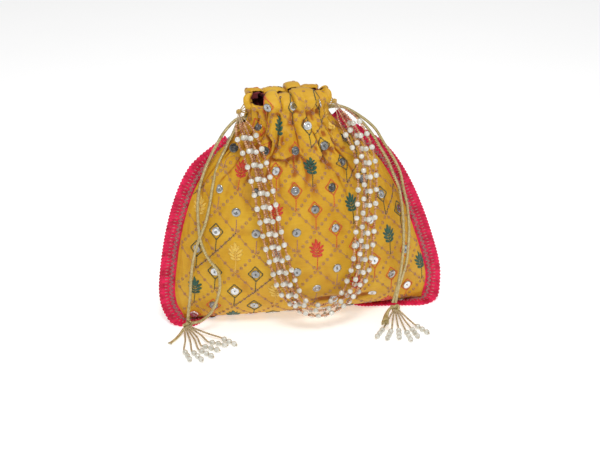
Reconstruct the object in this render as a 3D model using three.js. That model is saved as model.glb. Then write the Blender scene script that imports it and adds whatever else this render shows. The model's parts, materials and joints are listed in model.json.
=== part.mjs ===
// A potli bag: a gathered silk pouch standing on its base, with a drawstring neck, tasselled
// cords at both sides and a handle of five bead strands that swings over the top.
// Millimetres, +Z up, front towards -Y, origin at the middle of the base on the ground.

import * as THREE from 'three';
import { ParametricGeometry } from 'three/addons/geometries/ParametricGeometry.js';

// ---- Driving dimensions ----

const CENTRE = new THREE.Vector3(1.63, 5.45, 0); // moves the whole bag so that its box stands on the origin
const BASE_LIFT = 2; // the trim lies under the bag, so the cloth starts this high
const NECK_Z = 193;
const NECK_LEAN = 13; // the drawn neck sits this far left of the middle of the base
const MOUTH_Z = 214;
const CLOTH = 1.2; // silk with its backing
const LINING = 0.8;
const SEAM_GAP = 0.15; // each panel stops this far from the seam plane
const SLIT_HALF = 4.7; // half width of the opening that the cords leave by
const SLIT_FROM = 178;
const TRIM_TOP = 180;
const PLEATS = 6; // folds across each panel where the neck is drawn in
const SMOOTH_FROM = 0.75; // from this share of the width out to the seam the folds die away
const CORD_DIAMETER = 2.6;
const FRAYED_DIAMETER = 3.4; // the right tail has opened out
const CASING = 3.6; // room between cloth and lining for the cord
const TRIM_WIDTH = 12.5;
const TRIM_THICK = 1.6;
const TRIM_GAP = 1.1; // from the side seam to the sewn edge of the trim
const PEARL = 5; // handle pearls
const PEARL_PITCH = 12.6;
const TASSEL_PEARL = 5.5;
const PEARLS_PER_TASSEL_STRAND = 3;
const THREAD = 1.5;
const BARE_END = 15; // thread without pearls at each end of a handle strand

// Height against half width, and against depth in front of and behind the side seams.
const HALF_WIDTH = [
  [0, 113], [15, 118], [30, 118.5], [60, 112.5], [90, 104], [118, 93], [139, 81], [155, 67],
  [167, 53], [178, 43], [187, 37.5], [193, 35], [203, 35], [214, 33],
];
const FRONT_DEPTH = [
  [0, 9], [6, 24], [20, 36], [45, 44], [80, 43], [120, 35], [150, 27], [170, 21.5], [187, 17.5],
  [193, 17], [203, 18], [214, 17],
];
const BACK_DEPTH = [
  [0, 9], [6, 22], [20, 32], [45, 40], [80, 40], [120, 32], [150, 25.5], [170, 20.5], [187, 17.5],
  [193, 17], [203, 18], [214, 17],
];
const PLEAT_DEPTH = [
  [0, 0], [135, 0], [160, 1.2], [178, 2.2], [187, 1.2], [196, 1.2], [205, 2.6], [214, 3.6],
];
const LINING_INSET = [[0, 2.3], [150, 2.3], [175, 3], [184, CLOTH + CASING], [214, CLOTH + CASING]];
const LEVELS = [0, 2, 6, 13, 23, 36, 52, 70, 90, 110, 128, 144, 158, 169, 178, 186, 193, 200, 207, 214];

const { lerp, smoothstep, clamp } = THREE.MathUtils;

// A smooth curve through a list of [height, value] rows.
function along(rows, z) {
  const last = rows.length - 1;
  const at = clamp(z, rows[0][0], rows[last][0]);
  let i = 0;
  while (i < last - 1 && rows[i + 1][0] <= at) i++;
  const slope = (k) => {
    const a = rows[Math.max(k - 1, 0)];
    const b = rows[Math.min(k + 1, last)];
    return (b[1] - a[1]) / (b[0] - a[0]);
  };
  const h = rows[i + 1][0] - rows[i][0];
  const t = (at - rows[i][0]) / h;
  const s = 1 - t;
  return (1 + 2 * t) * s * s * rows[i][1] + t * s * s * h * slope(i)
    + t * t * (3 - 2 * t) * rows[i + 1][1] - t * t * s * h * slope(i + 1);
}

const middleX = (z) => (-NECK_LEAN * z) / NECK_Z;

// The seam plane is bowed: the bottom corners come forward, so the bag stands on a curved line.
function seamY(u, z) {
  const curl = Math.max(0, 1 - z / 140) ** 1.5;
  return 2 + 4 * Math.min(z / 190, 1) - (10.5 * u * u + 3.5 * u) * curl;
}

// Cross-section from seam to seam: a pillow below, a plain ellipse at the neck.
function fullness(u, z) {
  const pillow = Math.max(0, 1 - Math.abs(u) ** 2.2) ** 0.8;
  return lerp(pillow, Math.sqrt(Math.max(0, 1 - u * u)), smoothstep(z, 130, 180));
}

// A point of the bag's wall. side is -1 at the front and 1 at the back, u runs from the left seam
// (-1) to the right one (1), and the insets move it inwards.
function wall(side, u, z, options = {}) {
  const { flat = false, insetX = 0, insetY = 0, gap = 0, lift = BASE_LIFT, pleats = 1 } = options;
  const depth = flat ? gap : Math.max(gap, along(side < 0 ? FRONT_DEPTH : BACK_DEPTH, z) - insetY);
  const width = along(HALF_WIDTH, z) - insetX;
  const calm = 1 - smoothstep(Math.abs(u), SMOOTH_FROM, 1);
  const fold = (0.5 - 0.5 * Math.cos(Math.asin(u) * 2 * PLEATS)) * calm;
  const pleat = flat ? 0 : pleats * fold * along(PLEAT_DEPTH, z);
  const out = fullness(u, z);
  const reach = Math.hypot(u, out) || 1;
  return new THREE.Vector3(
    middleX(z) + width * u + (pleat * u) / reach,
    seamY(u, z) + side * (gap + (depth - gap) * out + (pleat * out) / reach),
    z + lift,
  );
}

// How far forward the front panel reaches at a place seen from the front.
function frontY(x, z) {
  const u = clamp((x - middleX(z)) / along(HALF_WIDTH, z), -1, 1);
  return wall(-1, u, z, { gap: SEAM_GAP }).y;
}

// ---- Solids ----

// A closed sheet: each level goes across on the outer face and back on the inner one, and the
// first and last levels fold shut halfway between the two faces.
function sheet(outer, inner, across, levels) {
  const ring = 2 * (across + 1);
  const rows = [levels[0], ...levels, levels[levels.length - 1]];
  const place = (i, j) => {
    const isOuter = i <= across;
    const s = isOuter ? i / across : (ring - 1 - i) / across;
    const shut = j === 0 || j === rows.length - 1;
    if (shut) return outer(s, rows[j]).lerp(inner(s, rows[j]), 0.5);
    return isOuter ? outer(s, rows[j]) : inner(s, rows[j]);
  };
  return closedGrid(place, ring, rows.length);
}

// A grid that closes on itself around and whose first and last rows are shut.
function closedGrid(place, ring, count) {
  return new ParametricGeometry((a, b, target) => {
    target.copy(place(Math.round(a * ring) % ring, Math.round(b * (count - 1))));
  }, ring, count - 1);
}

function tube(points, diameter, steps) {
  const section = new THREE.Shape().absarc(0, 0, diameter / 2, 0, 2 * Math.PI);
  const path = new THREE.CatmullRomCurve3(points.map((p) => new THREE.Vector3(...p)));
  return new THREE.ExtrudeGeometry(section, { steps, extrudePath: path, curveSegments: 4 });
}

// A thread with beads on it: stations are [distance along the path, radius].
function beaded(points, stations) {
  const path = new THREE.CatmullRomCurve3(points);
  path.arcLengthDivisions = 800;
  const length = path.getLength();
  const fine = 600;
  const frames = path.computeFrenetFrames(fine, false);
  const sides = 6;
  const rows = [[stations[0][0], 0], ...stations, [stations[stations.length - 1][0], 0]];
  return closedGrid((i, j) => {
    const share = clamp(rows[j][0] / length, 0, 1);
    const k = Math.round(share * fine);
    const turn = (2 * Math.PI * i) / sides;
    return path.getPointAt(share)
      .addScaledVector(frames.normals[k], rows[j][1] * Math.cos(turn))
      .addScaledVector(frames.binormals[k], rows[j][1] * Math.sin(turn));
  }, sides, rows.length);
}

const bag = new THREE.Group();

function add(name, geometry, color, roughness, metalness = 0) {
  const mesh = new THREE.Mesh(geometry, new THREE.MeshStandardMaterial({ color, roughness, metalness }));
  mesh.name = name;
  bag.add(mesh);
  return mesh;
}

// ---- Panels and lining ----

const ACROSS = 24;
const slit = (z) => lerp(SEAM_GAP, SLIT_HALF, smoothstep(z, SLIT_FROM, SLIT_FROM + 6));

// Levels are heights; the first one is the seam line under the base, where the panel has no depth.
function panel(side) {
  const levels = [-1, ...LEVELS];
  const at = (inset) => (s, level) => {
    const u = -Math.cos(Math.PI * s);
    const z = Math.max(level, 0);
    const seam = lerp(2.2, CLOTH, smoothstep(z, 150, 185));
    return wall(side, u, z, {
      flat: level < 0,
      insetX: inset ? seam : 0,
      insetY: inset ? CLOTH : 0,
      gap: slit(z),
      lift: BASE_LIFT + (inset ? CLOTH * (1 - smoothstep(z, 0, 20)) : 0),
    });
  };
  return side < 0 ? sheet(at(false), at(true), ACROSS, levels) : sheet(at(true), at(false), ACROSS, levels);
}

add('front_panel', panel(-1), '#e2b12c', 0.5);
add('back_panel', panel(1), '#e2b12c', 0.5);

// The lining hangs inside the panels as one bag: up the outside, over the rim and down the inside.
function lining() {
  const levels = LEVELS.filter((z) => z !== 2 && z !== 200 && z !== 207);
  const inside = [...levels].reverse();
  const rows = [[-1, 0], ...levels.map((z) => [z, 0]), ...inside.map((z) => [z, LINING]), [-1, LINING]];
  const around = 32;
  return closedGrid((i, j) => {
    const turn = (2 * Math.PI * i) / around;
    const [level, thick] = rows[j];
    const z = Math.max(level, 0);
    const inset = along(LINING_INSET, z) + thick;
    return wall(Math.sin(turn) < 0 ? -1 : 1, Math.cos(turn), z, {
      flat: level < 0,
      insetX: inset + lerp(2.8, 1.4, smoothstep(z, 150, 184)),
      insetY: inset,
      lift: BASE_LIFT + (CLOTH + 1.1 + thick) * (1 - smoothstep(z, 0, 20)) - (z === MOUTH_Z ? 1 : 0),
      pleats: 0,
    });
  }, around, rows.length);
}

add('lining', lining(), '#6d1420', 0.7);

// ---- Lace trim ----

// One ribbon: down the left seam, along the bottom and up the right seam. Each station is the
// sewn edge and the free edge. Under the base it lies flat, forward at the two corners and back
// between them.
function trimStations() {
  const lowest = 14;
  const side = (sign) => {
    const list = [];
    for (let z = TRIM_TOP; z >= lowest; z -= 8) {
      const root = (h) => {
        const x = middleX(h) + sign * (along(HALF_WIDTH, h) + TRIM_GAP);
        return new THREE.Vector3(x, seamY(sign, h), h + BASE_LIFT);
      };
      const run = root(z - 2).sub(root(z + 2)).normalize();
      const out = new THREE.Vector3(-sign * run.z, 0, sign * run.x).normalize();
      list.push([root(z), root(z).addScaledVector(out, TRIM_WIDTH)]);
    }
    return list;
  };
  const flatZ = TRIM_THICK / 2;
  const floor = [];
  const reach = along(HALF_WIDTH, 0) - 4;
  for (let i = 0; i <= 36; i++) {
    const x = lerp(-reach, reach, i / 36);
    const forward = x < 0 ? 1 - smoothstep(x, -106, -86) : smoothstep(x, 30, 56);
    const y = seamY(x / reach, 0);
    floor.push([
      new THREE.Vector3(x, y + TRIM_WIDTH * (1 - forward), flatZ),
      new THREE.Vector3(x, y - TRIM_WIDTH * forward, flatZ),
    ]);
  }
  const corner = (sign) => {
    const w = along(HALF_WIDTH, 0);
    const y = seamY(sign, 0);
    return [
      [new THREE.Vector3(sign * (w + 5), y, 9.5), new THREE.Vector3(sign * (w + 16), y - 1.5, 7)],
      [new THREE.Vector3(sign * (w + 3.2), y, 4.6), new THREE.Vector3(sign * (w + 13.5), y - 5.5, 2.2)],
      [new THREE.Vector3(sign * (w + 1.8), y, 0.9), new THREE.Vector3(sign * (w + 7), y - 10, 0.9)],
    ];
  };
  return [...side(-1), ...corner(-1), ...floor, ...corner(1).reverse(), ...side(1).reverse()];
}

function ribbon(stations, thickness) {
  const normals = stations.map(([a, b], i) => {
    const before = stations[Math.max(i - 1, 0)];
    const after = stations[Math.min(i + 1, stations.length - 1)];
    const run = after[0].clone().add(after[1]).sub(before[0]).sub(before[1]);
    return b.clone().sub(a).cross(run).normalize();
  });
  const rows = [0, ...stations.keys(), stations.length - 1];
  return closedGrid((i, j) => {
    const [a, b] = stations[rows[j]];
    const n = normals[rows[j]];
    if (j === 0 || j === rows.length - 1) return a.clone().lerp(b, i === 0 || i === 3 ? 0 : 1);
    return (i === 0 || i === 3 ? a : b).clone().addScaledVector(n, (i < 2 ? 0.5 : -0.5) * thickness);
  }, 4, rows.length);
}

add('lace_trim', ribbon(trimStations(), TRIM_THICK), '#d6185a', 0.75);

// ---- Drawstrings ----

// Each cord is one length: from its knot up to the side slit, once around the neck between cloth
// and lining, out of the same slit and down to the knot again.
function neckLoop(sign, z) {
  const inset = CLOTH + CASING / 2;
  const points = [];
  for (let i = 1; i < 18; i++) {
    const turn = (i / 18) * 2 * Math.PI;
    const u = sign * Math.cos(turn);
    const depth = along(FRONT_DEPTH, z) - inset;
    const width = along(HALF_WIDTH, z) - inset;
    points.push([middleX(z) + width * u, seamY(0, z) - depth * Math.sin(turn), z + BASE_LIFT]);
  }
  return points;
}

const KNOT = { left: [-113, -27, 7.5], right: [78, -43, 11] };
const LEFT_FRONT = [
  [-110, -28.5, 10], [-101, -31, 13], [-92, -33, 22], [-86, -34, 36], [-83, -33, 50], [-84, -31, 62],
  [-92, -25, 74], [-97, -20, 88], [-98, -15, 104], [-97, -9, 120], [-93, -4, 138], [-87, -3, 154],
  [-78, -1.8, 171], [-69, 0, 184], [-58, 3, 192.5], [-51.5, 3.9, 192.2], [-47, 3.4, 191.7],
];
const LEFT_BACK = [
  [-47, 8.6, 191.5], [-51.5, 8.2, 191.4], [-56, 6.4, 190], [-62, 1, 181], [-70, -1.5, 167], [-78, -4, 152],
  [-83, -8, 136], [-87, -13, 120], [-92, -17, 104], [-99, -19, 88], [-104, -18, 70], [-107, -19, 52],
  [-109, -22, 34], [-111.5, -25, 20], [-112.5, -26.5, 12.3],
];
const RIGHT_FRONT = [
  [78.5, -41.5, 16], [82, -37, 28], [86, -34, 38], [91, -30, 52], [94, -24, 66], [96, -17, 82], [96, -9, 98],
  [93, -3, 116], [90, -1.5, 130], [83, -1.5, 145], [74, -1, 160], [65, -0.5, 175], [52, 0.5, 187],
  [36, 2.5, 196.4], [27, 3.8, 196.8], [21, 3.4, 196.2],
];
const RIGHT_BACK = [
  [21, 8.6, 196], [27, 8.3, 196.2], [38, 8, 194], [52, 0.5, 183.2], [62, -2.5, 171], [70, -4, 157],
  [77, -6, 144], [82, -9, 131], [87, -10, 118], [89, -15, 102], [89, -22, 86], [88, -28, 70],
  [86, -32, 54], [83.5, -35, 40], [80, -38, 28], [76, -41, 16.3],
];
const leftRoute = [...LEFT_FRONT, ...neckLoop(-1, 189.5), ...LEFT_BACK];
const rightRoute = [...RIGHT_FRONT, ...neckLoop(1, 194), ...RIGHT_BACK];
add('drawstring_left', tube(leftRoute, CORD_DIAMETER, 78), '#cdbb7e', 0.45, 0.2);
add('drawstring_right', tube(rightRoute, CORD_DIAMETER, 78), '#cdbb7e', 0.45, 0.2);

const knotProfile = [[0, -4], [1.8, -3.6], [3.2, -2.2], [3.4, 0], [3.1, 2], [1.7, 3.6], [0, 4]];
for (const [side, place] of Object.entries(KNOT)) {
  const knot = new THREE.LatheGeometry(knotProfile.map(([r, h]) => new THREE.Vector2(r, h)), 12);
  add(`knot_${side}`, knot.rotateX(Math.PI / 2), '#c8b478', 0.5, 0.2).position.set(...place);
}
const LEFT_TAIL = [[-117.2, -28.6, 4.4], [-120.5, -32, 2.2], [-126, -39, 1.5], [-131, -44, 1.5]];
const RIGHT_TAIL = [[73.8, -44.6, 13.6], [70, -48, 12.6], [66.5, -53, 10.6], [64.5, -58, 9]];
add('cord_tail_left', tube(LEFT_TAIL, CORD_DIAMETER, 8), '#d6c690', 0.5, 0.2);
add('cord_tail_right', tube(RIGHT_TAIL, FRAYED_DIAMETER, 8), '#d6c690', 0.5, 0.2);

// ---- Tassels ----

// Each strand: where it leaves the knot, its first pearl on the ground, and which way the pearls run.
const TASSEL = {
  left: [
    [[-83, -50], [0.62, -0.78]], [[-94.5, -53], [0.86, -0.5]], [[-101.5, -58.5], [0.8, -0.6]],
    [[-105.5, -65], [0.6, -0.8]], [[-112.5, -67], [0.4, -0.92]], [[-120, -64], [0.2, -0.98]],
  ],
  right: [
    [[60, -64], [-0.6, -0.8]], [[67, -68], [-0.5, -0.87]], [[74.5, -68], [-0.24, -0.97]],
    [[80.8, -73], [0, -1]], [[87, -69], [0.12, -0.99]], [[93.5, -65], [0.45, -0.9]],
  ],
};
for (const [side, strands] of Object.entries(TASSEL)) {
  const knot = new THREE.Vector3(...KNOT[side]);
  strands.forEach(([[x, y], [dx, dy]], i) => {
    const r = TASSEL_PEARL / 2;
    const pitch = TASSEL_PEARL + 0.2;
    const first = new THREE.Vector3(x, y, r);
    const turn = THREE.MathUtils.degToRad(side === 'left' ? -28 - 21 * i : -140 + 21 * i);
    const start = knot.clone().add(new THREE.Vector3(5 * Math.cos(turn), 5 * Math.sin(turn), -1.5));
    const middle = start.clone().lerp(first, 0.5).setZ(lerp(start.z, r, 0.62));
    const run = new THREE.Vector3(dx, dy, 0).normalize();
    const before = first.clone().addScaledVector(run, -r - 1);
    const end = first.clone().addScaledVector(run, (PEARLS_PER_TASSEL_STRAND - 1) * pitch + r + 0.3);
    const points = [start, middle, before, first, end];
    const length = new THREE.CatmullRomCurve3(points).getLength();
    const stations = [[0, 0.55], [length * 0.25, 0.55], [length * 0.5, 0.55]];
    for (let p = PEARLS_PER_TASSEL_STRAND - 1; p >= 0; p--) {
      const centre = length - 0.3 - r - p * pitch;
      stations.push([centre - r, 0.7], [centre, r]);
    }
    stations.push([length, 0.5]);
    add(`tassel_${side}_${i + 1}`, beaded(points, stations), '#ece8dc', 0.25);
  });
}

// ---- Handle ----

// The strands hang in one U from the left end of the neck to the right end, over the front.
const HINGE = { left: new THREE.Vector3(-57, 1, 200), right: new THREE.Vector3(28, 1, 203) };
const HANDLE_PATH = [
  [-56.5, -5, 194], [-53.5, -13, 183], [-48, -24, 166], [-43.5, -32, 142], [-39.5, -38, 115], [-35, -42, 89],
  [-30.5, -44, 70], [-24, -46, 48], [-13, -47, 29], [1, -48, 21], [15, -47, 22], [30, -46, 31], [39, -45, 45],
  [43, -44, 64], [45.5, -42, 87], [48.5, -35, 116], [50.5, -29, 136], [50, -22, 157], [46, -14, 173],
  [39, -7, 186], [32, -3, 196],
];
const FRONT = new THREE.Vector3(0, -1, 0);
const HUG = 44; // below this height the strands hang free of the rounded belly

// Where a strand lies in the bundle, sideways and outwards: flat in the middle, stacked at the
// bottom of the U, drawn together at the ends.
const BUNDLE = [
  { side: -8.3, out: 4.8, lowSide: -5.7, lowOut: 0 },
  { side: -2.8, out: 4.8, lowSide: -2.8, lowOut: 4.8 },
  { side: 0, out: 0, lowSide: 0, lowOut: 0 },
  { side: 2.8, out: 4.8, lowSide: 2.8, lowOut: 4.8 },
  { side: 8.3, out: 4.8, lowSide: 5.7, lowOut: 0 },
];

const axle = HINGE.right.clone().sub(HINGE.left).normalize();
const sweepPath = new THREE.CatmullRomCurve3(HANDLE_PATH.map((p) => new THREE.Vector3(...p)));
const STEPS = 40;

function strandPoints({ side, out, lowSide, lowOut }) {
  const points = [];
  for (let i = 0; i <= STEPS; i++) {
    const t = i / STEPS;
    const p = sweepPath.getPointAt(t);
    const run = sweepPath.getTangentAt(t);
    const across = run.clone().cross(FRONT).normalize();
    const forward = across.clone().cross(run).normalize();
    const low = 1 - smoothstep(p.z, 22, 70);
    const drawn = lerp(0.42, 1, smoothstep(Math.min(t, 1 - t), 0, 0.036));
    const sideways = lerp(side, lowSide, smoothstep(low, 0.5, 1)) * drawn;
    const outward = lerp(out, lowOut, smoothstep(low, 0, 0.5)) * drawn;
    p.addScaledVector(across, sideways);
    const ground = Math.max(p.z - BASE_LIFT, HUG);
    const slopeX = (frontY(p.x + 1, ground) - frontY(p.x - 1, ground)) / 2;
    const slopeZ = (frontY(p.x, ground + 1) - frontY(p.x, ground - 1)) / 2;
    const clear = (PEARL / 2 + 0.8) * Math.hypot(1, slopeX, slopeZ);
    p.y = Math.min(p.y, frontY(p.x, ground) - clear);
    points.push(p.addScaledVector(forward, outward));
  }
  return points;
}

BUNDLE.forEach((place, i) => {
  const points = strandPoints(place);
  const length = new THREE.CatmullRomCurve3(points).getLength();
  const count = Math.floor((length - BARE_END * 2) / PEARL_PITCH) + 1;
  const first = (length - (count - 1) * PEARL_PITCH) / 2;
  const stations = [[0, THREAD / 2]];
  for (let k = 0; k < count; k++) {
    const at = first + k * PEARL_PITCH;
    stations.push([at - PEARL_PITCH / 2, THREAD / 2], [at, PEARL / 2]);
  }
  stations.push([first + (count - 0.5) * PEARL_PITCH, THREAD / 2], [length, THREAD / 2]);
  add(`handle_strand_${i + 1}`, beaded(points, stations), '#e9e4d6', 0.3);
});

// The thread tabs that the strands are sewn to, at each end of the neck.
const tabProfile = [[0, -2.1], [1.6, -1.9], [2.2, -1], [2.2, 1], [1.6, 1.9], [0, 2.1]];
for (const [side, place] of Object.entries(HINGE)) {
  const tab = new THREE.LatheGeometry(tabProfile.map(([r, h]) => new THREE.Vector2(r, h)), 10);
  const mesh = add(`handle_tab_${side}`, tab, '#b98a62', 0.6);
  mesh.quaternion.setFromUnitVectors(new THREE.Vector3(0, 1, 0), axle);
  mesh.position.copy(place);
}

bag.position.copy(CENTRE);

export default bag;
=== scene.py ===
import json
import math
import random

import bpy
import numpy as np
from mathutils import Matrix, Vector, noise


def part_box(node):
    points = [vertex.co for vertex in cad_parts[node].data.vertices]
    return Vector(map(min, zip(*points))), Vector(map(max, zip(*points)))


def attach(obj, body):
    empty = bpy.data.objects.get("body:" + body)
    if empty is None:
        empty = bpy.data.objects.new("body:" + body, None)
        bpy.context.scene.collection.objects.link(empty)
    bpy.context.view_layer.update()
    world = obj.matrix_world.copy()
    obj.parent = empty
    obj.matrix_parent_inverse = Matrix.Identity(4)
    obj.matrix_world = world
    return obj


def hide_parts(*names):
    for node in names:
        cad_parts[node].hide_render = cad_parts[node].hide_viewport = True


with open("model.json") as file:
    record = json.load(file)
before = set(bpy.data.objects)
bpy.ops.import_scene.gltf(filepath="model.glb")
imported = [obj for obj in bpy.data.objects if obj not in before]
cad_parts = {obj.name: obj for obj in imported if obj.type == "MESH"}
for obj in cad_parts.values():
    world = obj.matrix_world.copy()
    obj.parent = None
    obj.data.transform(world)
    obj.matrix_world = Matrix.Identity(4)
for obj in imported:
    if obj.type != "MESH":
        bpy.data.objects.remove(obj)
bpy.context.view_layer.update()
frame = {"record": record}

# ---- Camera, floor and light ----
# The bag stands on a pale matt laminate table top under one soft lamp from the front and above, a
# weaker one from the right, one over the back and an even white surround. The lens is a long one, as
# for a product picture.

MM = 0.001
AZIMUTH, ELEVATION = math.radians(-12), math.radians(26)
DISTANCE = 1100 * MM

base_spot = Vector(frame["record"]["mounts"][0]["pos_m"])
belly = base_spot + Vector((-2, -8, 105)) * MM  # the middle of the front, where the lamps point too
back = Vector((
    math.sin(AZIMUTH) * math.cos(ELEVATION),
    -math.cos(AZIMUTH) * math.cos(ELEVATION),
    math.sin(ELEVATION),
))
turned = back.to_track_quat("Z", "Y")
aim = belly + turned @ Vector((-0.9, -18.2, 0)) * MM

camera = bpy.data.objects.new("camera", bpy.data.cameras.new("camera"))
camera.data.lens = 72.6
camera.location = belly + back * DISTANCE
camera.rotation_mode = "QUATERNION"
camera.rotation_quaternion = (camera.location - aim).to_track_quat("Z", "Y")
camera.data.clip_start = 0.05
camera.data.clip_end = 50
bpy.context.collection.objects.link(camera)
bpy.context.scene.camera = camera
bpy.context.scene.view_settings.view_transform = "Standard"


def hex_colour(code):
    """An sRGB hex colour as the linear colour that a shader takes."""
    parts = [int(code[i:i + 2], 16) / 255 for i in (1, 3, 5)]
    return (*[c / 12.92 if c <= 0.04045 else ((c + 0.055) / 1.055) ** 2.4 for c in parts], 1)


def plug(tree, made, **links):
    """Sets a node's inputs, by name or as i0, i1 and so on, each to a value or to a socket."""
    for key, value in links.items():
        numbered = key[0] == "i" and key[1:].isdigit()
        socket = made.inputs[int(key[1:]) if numbered else key.replace("_", " ")]
        if isinstance(value, bpy.types.NodeSocket):
            tree.links.new(value, socket)
        else:
            socket.default_value = value


def node(tree, kind, settings=None, stops=(), **links):
    """Adds a node with its properties, a colour ramp's (place, colour) stops, and its inputs."""
    made = tree.nodes.new(kind)
    for key, value in (settings or {}).items():
        setattr(made, key, value)
    for number, (place, code) in enumerate(stops):
        made.color_ramp.elements[number].position = place
        made.color_ramp.elements[number].color = hex_colour(code)
    plug(tree, made, **links)
    return made


def new_material(name):
    """A material with its Principled shader, ready for its pattern."""
    material = bpy.data.materials.new(name)
    material.use_nodes = True
    return material, material.node_tree, material.node_tree.nodes["Principled BSDF"]


TABLE_HALF = 4.0  # metres, well past the edges of the view
table_mesh = bpy.data.meshes.new("table_top")
corners = [(x * TABLE_HALF, y * TABLE_HALF, 0) for x, y in ((-1, -1), (1, -1), (1, 1), (-1, 1))]
table_mesh.from_pydata(corners, [], [(0, 1, 2, 3)])
table_top = bpy.data.objects.new("table_top", table_mesh)
bpy.context.collection.objects.link(table_top)
# White laminate has a matt face with the faintest unevenness. It glows a little of its own, as a
# table lit from all round does.
paint, tree, shader = new_material("matt_white_laminate")
speck = node(tree, "ShaderNodeTexNoise", Scale=40, Detail=2)
tint = node(tree, "ShaderNodeValToRGB", stops=((0, "#F6F6F6"), (1, "#FAFAFA")), i0=speck.outputs[0])
plug(tree, shader, Base_Color=tint.outputs[0], Roughness=0.7, Emission_Color=(1, 1, 1, 1),
     Emission_Strength=0.42)
table_mesh.materials.append(paint)

surround = bpy.data.worlds.new("surround")
surround.use_nodes = True
plug(surround.node_tree, surround.node_tree.nodes["Background"], Color=(1, 1, 1, 1), Strength=0.36)
bpy.context.scene.world = surround

for name, place, size, power in (
    ("key_lamp", (-0.10, -0.62, 1.15), 0.40, 7.4),
    ("fill_lamp", (0.8, -0.6, 0.6), 0.7, 0.9),
    ("top_lamp", (0.0, 0.25, 1.1), 0.8, 2.6),
):
    lamp = bpy.data.objects.new(name, bpy.data.lights.new(name, "AREA"))
    lamp.data.size = size
    lamp.data.energy = power
    lamp.location = belly + Vector(place)
    lamp.rotation_mode = "QUATERNION"
    lamp.rotation_quaternion = (lamp.location - belly).to_track_quat("Z", "Y")
    bpy.context.collection.objects.link(lamp)

# ---- Drawstrings ----
# Two gold dori cords, each a cable of three plies of metallic zari thread, 2.6 mm thick. Each runs
# from its knot up to a side slit, round the neck inside the casing and out of the same slit again.

ORIGIN = np.array(base_spot) / MM - (0, 8, 0)  # the middle of the bag in the routes' own numbers
CORD = 2.6
PLY_PITCH = 7.0
KNOT = {"left": (-113, -27, 7.5), "right": (78, -43, 11)}
ROUTES = {
    "left_front": [
        (-110, -28.5, 10), (-101, -31, 13), (-92, -33, 22), (-86, -34, 36), (-83, -33, 50), (-84, -31, 62),
        (-92, -25, 74), (-97, -20, 88), (-98, -15, 104), (-97, -9, 120), (-93, -4, 138), (-87, -3, 154),
        (-78, -1.8, 171), (-69, 0, 184), (-58, 3, 192.5), (-51.5, 3.9, 192.2), (-47, 3.4, 191.7),
    ],
    "left_back": [
        (-47, 8.6, 191.5), (-51.5, 8.2, 191.4), (-56, 6.4, 190), (-62, 1, 181), (-70, -1.5, 167),
        (-78, -4, 152), (-83, -8, 136), (-87, -13, 120), (-92, -17, 104), (-99, -19, 88), (-104, -18, 70),
        (-107, -19, 52), (-109, -22, 34), (-111.5, -25, 20), (-112.5, -26.5, 12.3),
    ],
    "right_front": [
        (78.5, -41.5, 16), (82, -37, 28), (86, -34, 38), (91, -30, 52), (94, -24, 66), (96, -17, 82),
        (96, -9, 98), (93, -3, 116), (90, -1.5, 130), (83, -1.5, 145), (74, -1, 160), (65, -0.5, 175),
        (52, 0.5, 187), (36, 2.5, 196.4), (27, 3.8, 196.8), (21, 3.4, 196.2),
    ],
    "right_back": [
        (21, 8.6, 196), (27, 8.3, 196.2), (38, 8, 194), (52, 0.5, 183.2), (62, -2.5, 171), (70, -4, 157),
        (77, -6, 144), (82, -9, 131), (87, -10, 118), (89, -15, 102), (89, -22, 86), (88, -28, 70),
        (86, -32, 54), (83.5, -35, 40), (80, -38, 28), (76, -41, 16.3),
    ],
}


def distances(line):
    """How far along a line each of its points lies."""
    return np.concatenate([[0], np.cumsum(np.linalg.norm(np.diff(line, axis=0), axis=1))])


def curve_line(points, step):
    """A smooth line through listed points, given back as points a step apart."""
    p = np.array(points, float)
    p = np.vstack([2 * p[0] - p[1], p, 2 * p[-1] - p[-2]])
    gap = np.maximum(np.linalg.norm(np.diff(p, axis=0), axis=1) ** 0.5, 1e-4)
    t = np.linspace(0, 1, 32, endpoint=False)[:, None]
    rows = []
    for i in range(1, len(p) - 2):
        d0, d1, d2 = gap[i - 1:i + 2]
        start = ((p[i] - p[i - 1]) / d0 - (p[i + 1] - p[i - 1]) / (d0 + d1) + (p[i + 1] - p[i]) / d1) * d1
        end = ((p[i + 1] - p[i]) / d1 - (p[i + 2] - p[i]) / (d1 + d2) + (p[i + 2] - p[i + 1]) / d2) * d1
        rows.append(
            (1 + 2 * t) * (1 - t) ** 2 * p[i] + t * (1 - t) ** 2 * start
            + t * t * (3 - 2 * t) * p[i + 1] - t * t * (1 - t) * end
        )
    line = np.vstack([*rows, p[-2]])
    far = distances(line)
    at = np.linspace(0, far[-1], max(2, int(round(far[-1] / step)) + 1))
    return np.stack([np.interp(at, far, line[:, k]) for k in range(3)], axis=1)


def frames_along(line):
    """The direction of a line at each point, and two directions across it that don't twist."""
    run = np.gradient(line, axis=0)
    run /= np.linalg.norm(run, axis=1)[:, None]
    first = np.cross(run[0], (0, 0, 1) if abs(run[0][2]) < 0.9 else (0, 1, 0))
    side = [first / np.linalg.norm(first)]
    for r in run[1:]:
        s = side[-1] - r * (side[-1] @ r)
        side.append(s / np.linalg.norm(s))
    side = np.array(side)
    return run, side, np.cross(run, side)


def quads(rows, sides):
    """The faces of a skin over rings of points, each ring with the same number of sides."""
    i = np.arange(rows - 1)[:, None] * sides
    j = np.arange(sides)[None, :]
    k = (j + 1) % sides
    return np.stack([i + j, i + k, i + sides + k, i + sides + j], axis=-1).reshape(-1, 4).tolist()


def skin(rings, low, high):
    """A closed skin over rings of points, with a fan over each end from a point of its own."""
    rows, sides = rings.shape[:2]
    verts = np.vstack([rings.reshape(-1, 3), low, high])
    last = (rows - 1) * sides
    faces = quads(rows, sides)
    faces += [(rows * sides, (a + 1) % sides, a) for a in range(sides)]
    faces += [(rows * sides + 1, last + a, last + (a + 1) % sides) for a in range(sides)]
    return verts, faces


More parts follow.
